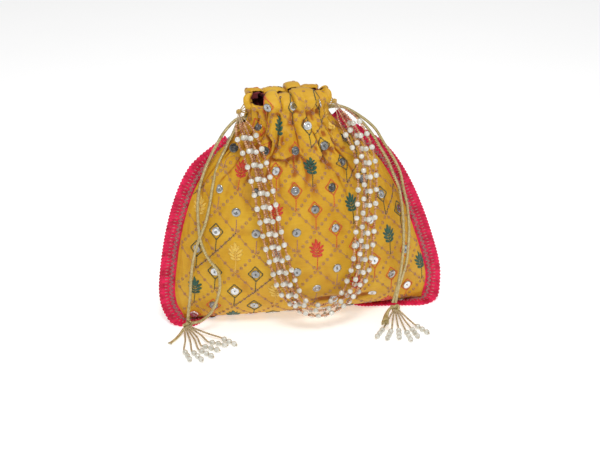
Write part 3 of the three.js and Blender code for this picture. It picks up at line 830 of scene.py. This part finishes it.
# Where the first motif's middle is on each panel.
FIRST = {"front": (9.6, 101.0), "back": (4.0, 96.0)}
REPEAT = [
    ("red leaf", "disc"), ("red frame", "red frame"), ("green leaf", "red frame"),
    ("olive frame", "olive frame"), ("yellow leaf", "olive frame"), ("disc", "disc"),
]
MAP_STEP = 0.8


def cloth_map(side):
    """Point and outward normal on the sewn bag for places on the flat cloth, on an even raster."""
    grid, (across, up) = walls[side], cloth[side]
    a = np.arange(-132, 132, MAP_STEP)
    b = np.arange(up[0, 0], up[-1, 0], MAP_STEP)
    rows = np.array([[np.interp(a, row, line[:, k]) for k in range(3)] for row, line in zip(across, grid)])
    points = np.stack([
        [np.interp(b, up[:, 0], rows[:, k, i]) for i in range(len(a))] for k in range(3)
    ], axis=-1).transpose(1, 0, 2)
    normal = np.cross(np.gradient(points, axis=1), np.gradient(points, axis=0))
    normal *= (1 if side == "front" else -1) / np.maximum(np.linalg.norm(normal, axis=2), 1e-6)[..., None]
    left = np.interp(b, up[:, 0], across[:, 0])
    right = np.interp(b, up[:, 0], across[:, -1])
    return a, b, points, normal, left, right


maps = {side: cloth_map(side) for side in walls}


def sewn(side, flat):
    """Flat places (across, up, height over the cloth) as points on the bag."""
    a, b, points, normal, _, _ = maps[side]
    flat = np.asarray(flat, float)
    i = np.clip((flat[:, 0] - a[0]) / MAP_STEP, 0, len(a) - 1.001)
    j = np.clip((flat[:, 1] - b[0]) / MAP_STEP, 0, len(b) - 1.001)
    i0, j0 = i.astype(int), j.astype(int)
    fi, fj = (i - i0)[:, None], (j - j0)[:, None]

    def mixed(field):
        low = field[j0, i0] * (1 - fi) + field[j0, i0 + 1] * fi
        high = field[j0 + 1, i0] * (1 - fi) + field[j0 + 1, i0 + 1] * fi
        return low * (1 - fj) + high * fj

    out = mixed(normal)
    out /= np.maximum(np.linalg.norm(out, axis=1), 1e-6)[:, None]
    return mixed(points) + out * flat[:, 2:3]


def on_panel(side, place, margin=1.2):
    """Whether a flat place is on the panel and this far inside its side seams."""
    _, b, _, _, left, right = maps[side]
    x, y = place[0], place[1]
    if not b[0] + 3 < y < b[-1] - 1.5:
        return False
    return np.interp(y, b, left) + margin < x < np.interp(y, b, right) - margin


def stitch(start, end, width, height):
    """One satin stitch from start to end on the flat cloth, a low ridge with tapered ends."""
    start, end = np.array(start, float), np.array(end, float)
    run = end - start
    long = np.linalg.norm(run)
    run /= long
    across = np.array((-run[1], run[0]))
    turn = np.arange(8) * math.pi / 4
    rim = np.stack([np.cos(turn) * long / 2, np.sin(turn) * width / 2], axis=1)
    middle = (start + end) / 2
    outline = rim[:, :1] * run + rim[:, 1:] * across
    # A foot just under the cloth's face, a drawn-in shoulder, and a point on top.
    foot = np.column_stack([middle + outline, np.full(8, -0.08)])
    shoulder = np.column_stack([middle + outline * 0.62, np.full(8, height * 0.8)])
    verts = np.vstack([foot, shoulder, [(*middle, height)]])
    faces = [tuple(range(7, -1, -1))]
    faces += [(k, (k + 1) % 8, 8 + (k + 1) % 8, 8 + k) for k in range(8)]
    faces += [(8 + k, 8 + (k + 1) % 8, 16) for k in range(8)]
    return verts, faces


def stitched_line(start, end, pitch, width, height):
    """A line of stitches, each starting a little inside the last one."""
    start, end = np.array(start, float), np.array(end, float)
    count = max(1, int(round(np.linalg.norm(end - start) / pitch)))
    step = (end - start) / count
    return [stitch(start + step * (k - 0.12), start + step * (k + 1.12), width, height) for k in range(count)]


# Where each leaflet starts and ends, on the right of the rib; the first is the tip.
LEAFLETS = [
    (0, 3.0, 0, 12.0), (1.0, 2.4, 4.2, 8.8), (0.8, 0.4, 7.2, 5.4), (0.5, -2.2, 7.0, 1.2),
    (0.3, -4.6, 5.2, -3.4),
]


def leaf(at):
    """A leaf of stitches fanned from its rib: pairs of pointed leaflets and one at the tip."""
    parts = []
    for x0, y0, x1, y1 in LEAFLETS:
        for mirror in ((1,) if x1 == 0 else (1, -1)):
            base = np.add(at, (mirror * x0 * 0.3, y0 - 0.8))
            tip = np.add(at, (mirror * x1, y1))
            parts.append(stitch(base, tip, 2.9, 0.6))
            for off, share in ((1.5, 0.7), (-1.4, 0.78)):
                edge = base + (tip - base) * share + (mirror * off * 0.9, off * 0.9)
                parts.append(stitch(base, edge, 1.9, 0.5))
    parts.append(stitch(np.add(at, (0, -7.4)), np.add(at, (0, 4.0)), 1.1, 0.65))
    return parts


def laid_flat(side, at, sides):
    """For a small stiff disc on the cloth: its middle, the ways round it, and the way out."""
    centre, right, upward = sewn(side, [(*at, 0), (at[0] + 1.5, at[1], 0), (at[0], at[1] + 1.5, 0)])
    right = right - centre
    right /= np.linalg.norm(right)
    upward = upward - centre
    upward -= right * (upward @ right)
    upward /= np.linalg.norm(upward)
    out = np.cross(right, upward) * (1 if side == "front" else -1)
    angle = np.arange(sides) * 2 * math.pi / sides
    around = np.cos(angle)[:, None] * right + np.sin(angle)[:, None] * upward
    return centre, around, out


# Outlines as (distance from the middle, height over the cloth).
RING = [(0.8, 0.05), (1.0, 0.5), (1.35, 0.35), (1.42, 0.05)]
RING_SIDES = 10
MIRROR = [(0.55, 0.42), (0.75, 0.6), (3.0, 0.72), (3.45, 0.5), (3.55, -0.1)]
MIRROR_SIDES = 20


def ring(side, at):
    """An open ring sequin."""
    centre, around, out = laid_flat(side, at, RING_SIDES)
    verts = np.vstack([centre + r * around + h * out for r, h in RING])
    faces = [[v % len(verts) for v in face] for face in quads(len(RING) + 1, RING_SIDES)]
    return verts, faces


def mirror(side, at, radius):
    """A round mirror with a ground edge and a small hole filled by its fixing stitch."""
    centre, around, out = laid_flat(side, at, MIRROR_SIDES)
    scale = radius / MIRROR[-1][0]
    rings = np.array([centre + r * scale * around + h * out for r, h in MIRROR])
    verts, faces = skin(rings, centre + MIRROR[0][1] * out, centre + MIRROR[-1][1] * out)
    return verts, [face[::-1] for face in faces]


def thread_material(name, dark, light, metallic=0.0):
    """Shiny viscose embroidery thread: streaks along it, drawn 0.5 mm apart for a real 0.2 mm."""
    material, tree, shader = new_material(name)
    where = node(tree, "ShaderNodeTexCoord")
    streak = node(tree, "ShaderNodeTexNoise", Vector=where.outputs["Object"], Scale=1 / (0.5 * MM), Detail=2)
    ramp = node(tree, "ShaderNodeValToRGB", stops=((0.38, dark), (0.62, light)), i0=streak.outputs[0])
    bump = node(tree, "ShaderNodeBump", Height=streak.outputs[0], Distance=0.0002, Strength=0.5)
    plug(tree, shader, Base_Color=ramp.outputs[0], Normal=bump.outputs[0], Roughness=0.42, Metallic=metallic,
         Sheen_Weight=0.2)
    return material


THREADS_USED = {
    "lattice": thread_material("mauve_chain_thread", "#A05E4C", "#CC947A"),
    "olive": thread_material("olive_satin_thread", "#33331A", "#5A5628"),
    "green": thread_material("bottle_green_thread", "#123A32", "#2C6A52"),
    "red": thread_material("scarlet_thread", "#B8200C", "#EE4A24"),
    "orange": thread_material("rust_orange_thread", "#C23A08", "#F06428"),
    "yellow": thread_material("pale_gold_thread", "#E0A81C", "#FADA6A"),
}
ring_sequin = thread_material("copper_ring_sequin", "#9E6850", "#D6A484", 0.35)

# Small mirrors are silvered acetate. Their colour is painted reflection: each disc is painted from dark grey
# to bright silver, as if some caught the lamp and others the dark of the room, with painted blotches over it.
mirror_film, tree, shader = new_material("silvered_acetate")
shade = node(tree, "ShaderNodeAttribute", {"attribute_name": "shade"})
where = node(tree, "ShaderNodeTexCoord")
painted_reflection_blotch = node(tree, "ShaderNodeTexNoise", Vector=where.outputs["Object"], Scale=380, Detail=2)
painted_reflection_level = node(tree, "ShaderNodeMath", {"operation": "MULTIPLY_ADD"}, i0=painted_reflection_blotch.outputs[0], i1=0.5,
            i2=shade.outputs["Fac"])
silver = node(tree, "ShaderNodeValToRGB", stops=((0.25, "#34322F"), (1, "#E6E8E8")), i0=painted_reflection_level.outputs[0])
plug(tree, shader, Base_Color=silver.outputs[0], Metallic=0.85, Roughness=0.18)

STEM_COLOUR = {
    "red leaf": "orange", "red frame": "orange", "green leaf": "olive", "olive frame": "olive",
    "yellow leaf": "yellow", "disc": "lattice",
}
draw = random.Random(20)
for side in ("front", "back"):
    colours = {name: [] for name in THREADS_USED}
    rings, mirrors, painted_reflection_levels = [], [], []
    a0, b0 = FIRST[side]
    for p in range(-CELLS, CELLS + 1):
        for q in range(-CELLS, CELLS + 1):
            a, b = a0 + (p + q) * CELL_ACROSS + (q - p) * SKEW, b0 + (q - p) * CELL_UP
            kind = REPEAT[q % 6][p % 2]
            luck = draw.random()
            # The diamond's two lower sides: three rings on a chained line, and five rings that have a
            # dark line only under some of the olive frames.
            bottom, left, right = (a - SKEW, b - CELL_UP), (a - CELL_ACROSS, b), (a + CELL_ACROSS, b)
            for far_end, count, dark in ((left, 3, False), (right, 5, kind == "olive frame" and p % 2)):
                way = np.subtract(far_end, bottom)
                places = [bottom + way * t for t in np.linspace(0, 1, 13)]
                inside = [on_panel(side, place) for place in places]
                tone, width = ("olive", 0.95) if dark else ("lattice", 0.6)
                for k in range(12):
                    if inside[k] and inside[k + 1] and (count == 3 or dark):
                        colours[tone] += stitched_line(places[k], places[k + 1], 2.2, width, 0.4)
                for k in range(count):
                    at = bottom + way * ((k + 0.5) / count)
                    if on_panel(side, at, 2.5):
                        rings.append(ring(side, at))
            if not on_panel(side, (a, b), SEAM_MARGIN if b < NECK_FROM else NECK_MARGIN):
                continue
            if on_panel(side, (a, b - CELL_UP + 1), 2):
                foot, head = (a - SKEW, b - CELL_UP + 0.6), (a, b - 6.5)
                colours[STEM_COLOUR[kind]] += stitched_line(foot, head, 2.0, 1.15, 0.45)
            if kind.endswith("leaf"):
                colours[kind.split()[0]] += leaf((a, b - 0.5))
                continue
            if kind.endswith("frame"):
                tone = "orange" if kind.startswith("red") else "olive"
                wide = FRAME_HALF * 0.92
                points = [(a, b - FRAME_HALF), (a + wide, b), (a, b + FRAME_HALF), (a - wide, b)]
                for k in range(4):
                    colours[tone] += stitched_line(points[k], points[(k + 1) % 4], 1.9, 1.3, 0.6)
            made = mirror(side, (a, b), 4.0 if kind.endswith("frame") else 4.1)
            mirrors.append(made)
            # Each mirror gets a random level of painted reflection, from dark grey to bright silver.
            painted_reflection_levels += [0.1 + 0.75 * luck ** 1.3] * len(made[0])
            colours["olive"].append(stitch((a - 0.5, b), (a + 0.5, b), 0.9, 1.0))
    for tone, stitches in colours.items():
        if not stitches:
            continue
        verts, faces = join(stitches)
        shape = (sewn(side, verts), faces)
        piece(f"{side}_{tone}_stitches", shape, THREADS_USED[tone])
    piece(f"{side}_ring_sequins", join(rings), ring_sequin)
    made = piece(f"{side}_mirrors", join(mirrors), mirror_film)
    attribute = made.data.attributes.new("shade", "FLOAT", "POINT")
    attribute.data.foreach_set("value", np.array(painted_reflection_levels, np.float32))

# ---- Lining ----
# A maroon cotton bag of the same cut, sewn in at the mouth. It follows the silk's folds in the
# frill, stands off it where the drawstrings run between the two, and hangs free below.

# Plain woven cotton, matt and a little fuzzy. Its yarns are about 0.3 mm, drawn coarser at 0.8 mm so
# that they show.
YARNS = 0.8
maroon_cotton, tree, shader = new_material("plain_woven_maroon_cotton")
cut = node(tree, "ShaderNodeUVMap", {"uv_map": "cut"})
warp, weft = [
    node(tree, "ShaderNodeTexWave", {"bands_direction": way}, Vector=cut.outputs[0],
         Scale=WAVE_TURN / (YARNS * MM), Distortion=1, Detail=1)
    for way in ("X", "Y")
]
weave = node(tree, "ShaderNodeMath", {"operation": "ADD"}, i0=warp.outputs["Color"], i1=weft.outputs["Color"])
cotton = node(tree, "ShaderNodeValToRGB", stops=((0, "#4E0C16"), (1, "#7C1826")), i0=weave.outputs[0])
bump = node(tree, "ShaderNodeBump", Height=weave.outputs[0], Distance=0.0002, Strength=0.6)
plug(tree, shader, Base_Color=cotton.outputs[0], Normal=bump.outputs[0], Roughness=0.8, Sheen_Weight=0.2)

# How far inside the silk it hangs at each height.
STAND_OFF = [(0, 2.2), (150, 2.2), (175, 3.2), (184, 4.9), (198, 4.9), (203, 2.6), (209, 1.1), (214, 1.0)]


BEHIND_SILK = 0.9
# Squares of the raster that the folds' depths are kept in: their size, the first one's place, and how many.
RASTER, RASTER_START, RASTER_SIZE = 1.5, (100, 2), (180, 160)


def lining_grid(side):
    """The silk's grid moved inwards, down to a seam of its own above the base."""
    grid = walls[side][1:]
    normal = np.cross(np.gradient(grid, axis=1), np.gradient(grid, axis=0))
    normal *= (1 if side == "front" else -1) / np.maximum(np.linalg.norm(normal, axis=2), 1e-6)[..., None]
    inset = along(STAND_OFF, HEIGHTS)[:, None, None]
    inner = grid - normal * inset
    middle = (-NECK_LEAN * HEIGHTS / NECK_Z)[:, None]
    narrower = 1 - 0.6 * inset[..., 0] / along(HALF_WIDTH, HEIGHTS)[:, None]
    inner[..., 0] = middle + (inner[..., 0] - middle) * narrower
    inner[..., 2] = np.maximum(inner[..., 2], 4.5) - 0.8 * ease(HEIGHTS, 208, 214)[:, None]
    seam = seam_y(np.sin(THETA)[None, :], HEIGHTS[:, None])
    sign = -1 if side == "front" else 1
    # No fold of the silk may reach through it: it stays behind the deepest cloth at each place.
    cells = np.floor(grid[..., [0, 2]] / RASTER).astype(int) + RASTER_START
    deepest = np.full(RASTER_SIZE, -1e3)
    np.maximum.at(deepest, (cells[..., 0], cells[..., 1]), -sign * grid[..., 1])
    for axis in (0, 1):
        deepest = np.maximum(deepest, np.maximum(np.roll(deepest, 1, axis), np.roll(deepest, -1, axis)))
    here = np.floor(inner[..., [0, 2]] / RASTER).astype(int) + RASTER_START
    behind = deepest[here[..., 0], here[..., 1]] + BEHIND_SILK
    inner[..., 1] = -sign * np.maximum(-sign * inner[..., 1], behind)
    inner[..., 1] = seam + sign * np.maximum(sign * (inner[..., 1] - seam), 0.05)
    return inner


for side in ("front", "back"):
    inner = lining_grid(side)
    flat = tuple(part[1:] for part in cloth[side])
    lining = cloth_mesh(f"{side}_lining", inner, flat, maroon_cotton, 0.4)
    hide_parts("lining")

# ---- Lace trim ----
# A bought trimming 12.5 mm wide, let into the side and base seams: a flat pink band with a zigzag
# of metallic thread on it, and outside that a thick crocheted edge of short cross ribs with scallops.

TRIM_WIDTH, TRIM_GAP = 12.5, 1.1
TRIM_TOP = {-1: 166, 1: 186}  # how high it shows on the left and on the right
RIB_PITCH = 3.2
BAND_SHARE = 0.42  # of the width, before the crocheted edge starts


def trim_stations():
    """The trimming's sewn edge and free edge, from the top left down and round to the top right."""
    def root(sign, h):
        x = -NECK_LEAN * h / NECK_Z + sign * (along(HALF_WIDTH, h) + TRIM_GAP)
        return np.array((float(x), float(seam_y(sign, h)), h + BASE_LIFT))

    def beside(sign):
        rows = []
        for h in range(TRIM_TOP[sign], 13, -8):
            run = root(sign, h - 2) - root(sign, h + 2)
            run /= np.linalg.norm(run)
            out = np.array((-sign * run[2], 0, sign * run[0]))
            out /= np.linalg.norm(out)
            # Near its top end it turns in under the gathered cloth.
            hidden = float(ease(h, 140, 166)) if sign < 0 else 0.35 * float(ease(h, 146, 172))
            edge = root(sign, h) + out * TRIM_WIDTH * (1 - 0.45 * hidden)
            edge += (-sign * 5 * hidden, 9 * hidden, 0)
            rows.append((root(sign, h) + (-sign * 3 * hidden, 3 * hidden, 0), edge))
        return rows

    def corner(sign):
        w = HALF_WIDTH[0][1]
        y = float(seam_y(sign, 0.0))
        return [
            (np.array((sign * (w + 3.2), y, 9.5)), np.array((sign * (w + 16), y - 1.5, 7))),
            (np.array((sign * (w + 1.6), y, 4.6)), np.array((sign * (w + 13.5), y - 5.5, 2.4))),
            (np.array((sign * (w + 0.2), y, 0.9)), np.array((sign * (w + 7), y - 10, 1.0))),
        ]

    base_half = HALF_WIDTH[0][1] - 4
    floor = []
    for x in np.linspace(-base_half, base_half, 37):
        # Under the base it lies backwards, and it turns forward at both corners.
        forward = 1 - ease(x, -106, -86) if x < 0 else ease(x, 30, 56)
        y = float(seam_y(x / base_half, 0.0))
        floor.append((
            np.array((x, y + TRIM_WIDTH * (1 - forward), 0.9)),
            np.array((x, y - TRIM_WIDTH * forward, 0.9)),
        ))
    return [*beside(-1), *corner(-1), *floor, *corner(1)[::-1], *beside(1)[::-1]]


sewn_edge, free_edge = np.array(trim_stations()).transpose(1, 0, 2)
centre_line = (sewn_edge + free_edge) / 2
far = distances(centre_line)
trim_length = far[-1]
STEP = RIB_PITCH / 8
stations = np.arange(0, trim_length, STEP)


def resampled(points, soften=21):
    """Points of an edge at each station along the trimming, with its corners rounded."""
    out = np.stack([np.interp(stations, far, points[:, k]) for k in range(3)], axis=1)
    weights = np.ones(soften) / soften
    pad = np.concatenate([[out[0]] * soften, out, [out[-1]] * soften])
    smooth = np.stack([np.convolve(pad[:, k], weights, "same") for k in range(3)], axis=1)
    return smooth[soften:-soften]


sewn_edge, free_edge = resampled(sewn_edge), resampled(free_edge)
across_trim = free_edge - sewn_edge
across_trim /= np.linalg.norm(across_trim, axis=1)[:, None]
width_here = np.linalg.norm(free_edge - sewn_edge, axis=1)
face_out = np.cross(across_trim, np.gradient(sewn_edge + free_edge, axis=0))
face_out /= np.linalg.norm(face_out, axis=1)[:, None]
ribs = np.abs(np.sin(math.pi * stations / RIB_PITCH))
# Places across the width, as shares of it: the first is sewn in under the silk's edge.
SHARES = np.array([-0.14, 0.0, 0.12, 0.26, 0.40, 0.45, 0.52, 0.62, 0.72, 0.82, 0.91, 0.98, 1.04])


def trim_height(share):
    """Half thickness across the width: a thin band, then a plump ribbed edge that thins at the rim."""
    band = 0.2 + (0.25 + 0.1 * np.sin(stations * 2 * math.pi / 1.1)) * min(max((share + 0.1) / 0.1, 0), 1)
    swell = math.sin(math.pi * min(max((share - BAND_SHARE) / (1.06 - BAND_SHARE), 0), 1)) ** 0.5
    threads = 0.12 * np.abs(np.sin(stations * 3 * math.pi / RIB_PITCH))
    plump = 0.35 + (0.45 + 0.75 * ribs + threads) * swell
    return band if share < BAND_SHARE else plump


outline = []
for face in (1, -1):
    for share in SHARES[::face]:
        scallop = share + (0.075 * ribs * max(0, share - 0.8) / 0.24)
        height = face * np.minimum(trim_height(share), 1.25)
        outline.append(sewn_edge + across_trim * (width_here * scallop)[:, None] + face_out * height[:, None])
sides = len(outline)
rows = len(stations)
verts = np.stack(outline, axis=1).reshape(-1, 3)
verts[:, 2] = np.maximum(verts[:, 2], 0.1)
faces = quads(rows, sides) + [tuple(range(sides - 1, -1, -1)), tuple(range((rows - 1) * sides, rows * sides))]

# Dyed rayon yarn, crocheted: flecks under 1 mm from its strands, and uneven dye over about 6 mm.
pink_crochet, tree, shader = new_material("crocheted_pink_rayon")
where = node(tree, "ShaderNodeTexCoord")
strand = node(tree, "ShaderNodeTexNoise", Vector=where.outputs["Object"], Scale=1300, Detail=2)
patch = node(tree, "ShaderNodeTexNoise", Vector=where.outputs["Object"], Scale=160, Detail=2)
both = node(tree, "ShaderNodeMath", {"operation": "MULTIPLY_ADD"}, i0=strand.outputs[0], i1=0.6,
            i2=patch.outputs[0])
pink = node(tree, "ShaderNodeValToRGB", stops=((0.55, "#B2002E"), (0.98, "#F81C5C")), i0=both.outputs[0])
bump = node(tree, "ShaderNodeBump", Height=strand.outputs[0], Distance=0.0004, Strength=0.7)
plug(tree, shader, Base_Color=pink.outputs[0], Normal=bump.outputs[0], Roughness=0.5, Specular_IOR_Level=0.3,
     Sheen_Weight=0.05)
trim = piece("lace_edge", (verts, faces), pink_crochet)
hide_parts("lace_trim")

# The metallic zigzags, one over the other, on both faces of the band. A full zigzag is this long.
silver_zigzag = thread_material("silver_gold_zigzag_thread", "#8A5F5E", "#DCBCB0", 0.4)
ZIGZAG = 4.2
nets = []
for face in (1, -1):
    for phase in (0, 0.5):
        turns = np.arange(0, trim_length - ZIGZAG, ZIGZAG / 2)
        row = np.clip((turns + phase * ZIGZAG / 2) / STEP, 0, rows - 1).astype(int)
        share = np.where(np.arange(len(turns)) % 2 == 0, 0.06, 0.37)
        height = 0.62 + 0.05 * phase
        line = sewn_edge[row] + across_trim[row] * (width_here[row] * share)[:, None]
        line += face_out[row] * face * height
        line[:, 2] = np.maximum(line[:, 2], ON_TABLE)
        thirds = [line[:-1] + (line[1:] - line[:-1]) * t for t in (0, 1 / 3, 2 / 3)]
        fine = np.concatenate(thirds, axis=1).reshape(-1, 3)
        nets.append(tube(fine, lambda angle, far: 0.26, 4))
# Over the inner end of each rib lies a short stitch of the same pale thread, placed as a painted highlight
# where each rib glints.
for face in (1, -1):
    for centre in np.arange(RIB_PITCH / 2, trim_length - RIB_PITCH, RIB_PITCH):
        row = min(int(centre / STEP), rows - 1)
        points = [sewn_edge[row] + across_trim[row] * width_here[row] * t + face_out[row] * face * h
                  for t, h in ((0.46, 0.7), (0.56, 1.28), (0.68, 1.34))]
        if min(point[2] for point in points) > 0.4:
            nets.append(tube(np.array(points), lambda angle, far: 0.3, 5))
net = piece("lace_zigzag", join(nets), silver_zigzag)
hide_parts("lace_trim")

# ---- Bead handle ----
# Five strands of nylon thread, each strung with 5 mm pearls and between them four copper-lined seed
# beads. Their ends are knotted into a small sewn tab of thread at each end of the neck.

PEARL_SCALE = 1.02
SEED, SEED_PITCH = 2.5, 1.85
TAB_END = 2.5  # the seed beads start this far from a strand's end

# Clear nylon, painted in the colour of the beads round it as painted reflection, with specks of painted
# gloss.
nylon, tree, shader = new_material("clear_nylon_thread")
where = node(tree, "ShaderNodeTexCoord")
painted_gloss = node(tree, "ShaderNodeTexNoise", Vector=where.outputs["Object"], Scale=700)
ramp = node(tree, "ShaderNodeValToRGB", stops=((0, "#B89878"), (1, "#DCC8A8")), i0=painted_gloss.outputs[0])
plug(tree, shader, Base_Color=ramp.outputs[0], Roughness=0.35)

# Rocailles: clear glass over a copper-coloured lining, so they look amber with a bright core.
seed_glass, tree, shader = new_material("copper_lined_glass")
where = node(tree, "ShaderNodeTexCoord")
vary = node(tree, "ShaderNodeTexNoise", Vector=where.outputs["Object"], Scale=330, Detail=1)
amber = node(tree, "ShaderNodeValToRGB", stops=((0.35, "#A8582A"), (0.65, "#F0BC90")), i0=vary.outputs[0])
plug(tree, shader, Base_Color=amber.outputs[0], Roughness=0.16, Metallic=0.25, Coat_Weight=0.8,
     Coat_Roughness=0.05)

tab_centres = [np.mean(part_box(f"handle_tab_{side}"), axis=0) / MM - ORIGIN for side in ("left", "right")]
draw = random.Random(3)
for number, line in enumerate(bead_lines, 1):
    far = distances(line)
    run, _, _ = frames_along(line)

    def at_distance(d, far=far, line=line, run=run):
        """The place on the strand at a distance along it, and which way the strand runs there."""
        spot = np.array([np.interp(d, far, line[:, k]) for k in range(3)])
        way = np.array([np.interp(d, far, run[:, k]) for k in range(3)])
        return spot, way

    total = far[-1]
    count = int((total - 2 * BARE_END) / PEARL_PITCH) + 1
    first = (total - (count - 1) * PEARL_PITCH) / 2 + draw.uniform(-2.5, 2.5)
    pearls, seeds = [], []
    places = [first + n * PEARL_PITCH for n in range(count)]
    for d in places:
        spot, way = at_distance(d)
        r = PEARL / 2 * PEARL_SCALE * draw.uniform(0.95, 1.0)
        pearls.append(bead(spot, way, r, 2 * r * draw.uniform(0.94, 1.06)))
    gaps = [(places[n] + PEARL / 2, places[n + 1] - PEARL / 2) for n in range(count - 1)]
    gaps += [(TAB_END, places[0] - PEARL / 2), (places[-1] + PEARL / 2, total - TAB_END)]
    for low, high in gaps:
        fit = max(1, int((high - low) / SEED_PITCH))
        for n in range(fit):
            spot, way = at_distance(low + (high - low) * (n + 0.5) / fit)
            size = SEED / 2 * draw.uniform(0.9, 1.04)
            tilt = np.array([draw.uniform(-0.12, 0.12) for _ in range(3)])
            seeds.append(bead(spot, way + tilt, size, 1.6, 6, 10, 0.4))
    whole = tube(np.vstack([tab_centres[0], line[::2], tab_centres[1]]), lambda angle, far: 0.35, 6)
    thread = piece(f"handle_thread_{number}", whole, nylon, "handle")
    pearl_row = piece(f"handle_pearls_{number}", join(pearls), pearl_gloss, "handle")
    seed_row = piece(f"handle_seed_beads_{number}", join(seeds), seed_glass, "handle")
    for made in (thread, pearl_row, seed_row):
        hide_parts(f"handle_strand_{number}")

# Each tab is five turns of cotton thread bound round the strands' ends, tacked to the silk's edge.
TACKED_AT = (196, 199, 202, 205)  # heights on the silk
TURNS, TURN_PITCH, BINDING = 5, 0.75, 0.5
tab_thread = thread_material("beige_binding_thread", "#A88038", "#DDB860")
for side, centre in zip(("left", "right"), tab_centres):
    wound = []
    for height in TACKED_AT:
        row = int(np.searchsorted(HEIGHTS, height)) + 1
        held = walls["front"][row, 6 if side == "left" else -7]
        tack = curve_line([centre, (centre + held) / 2 + (0, -0.5, 0), held], 0.8)
        wound.append(tube(tack, lambda angle, far: BINDING, 6))
    angle = np.linspace(0, 2 * math.pi, 25)
    for n in range(TURNS):
        size = 1.9 - 0.25 * abs(n - 2)
        around = np.stack([
            (n - 2) * TURN_PITCH + 0.2 * np.sin(angle), size * np.cos(angle), size * np.sin(angle),
        ], axis=1)
        wound.append(tube(centre + around, lambda angle, far: BINDING, 6))
    wound.append(bead(centre, (1, 0, 0), 1.7, 4.0, 8, 12))
    tab = piece(f"bound_tab_{side}", join(wound), tab_thread)
    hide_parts(f"handle_tab_{side}")
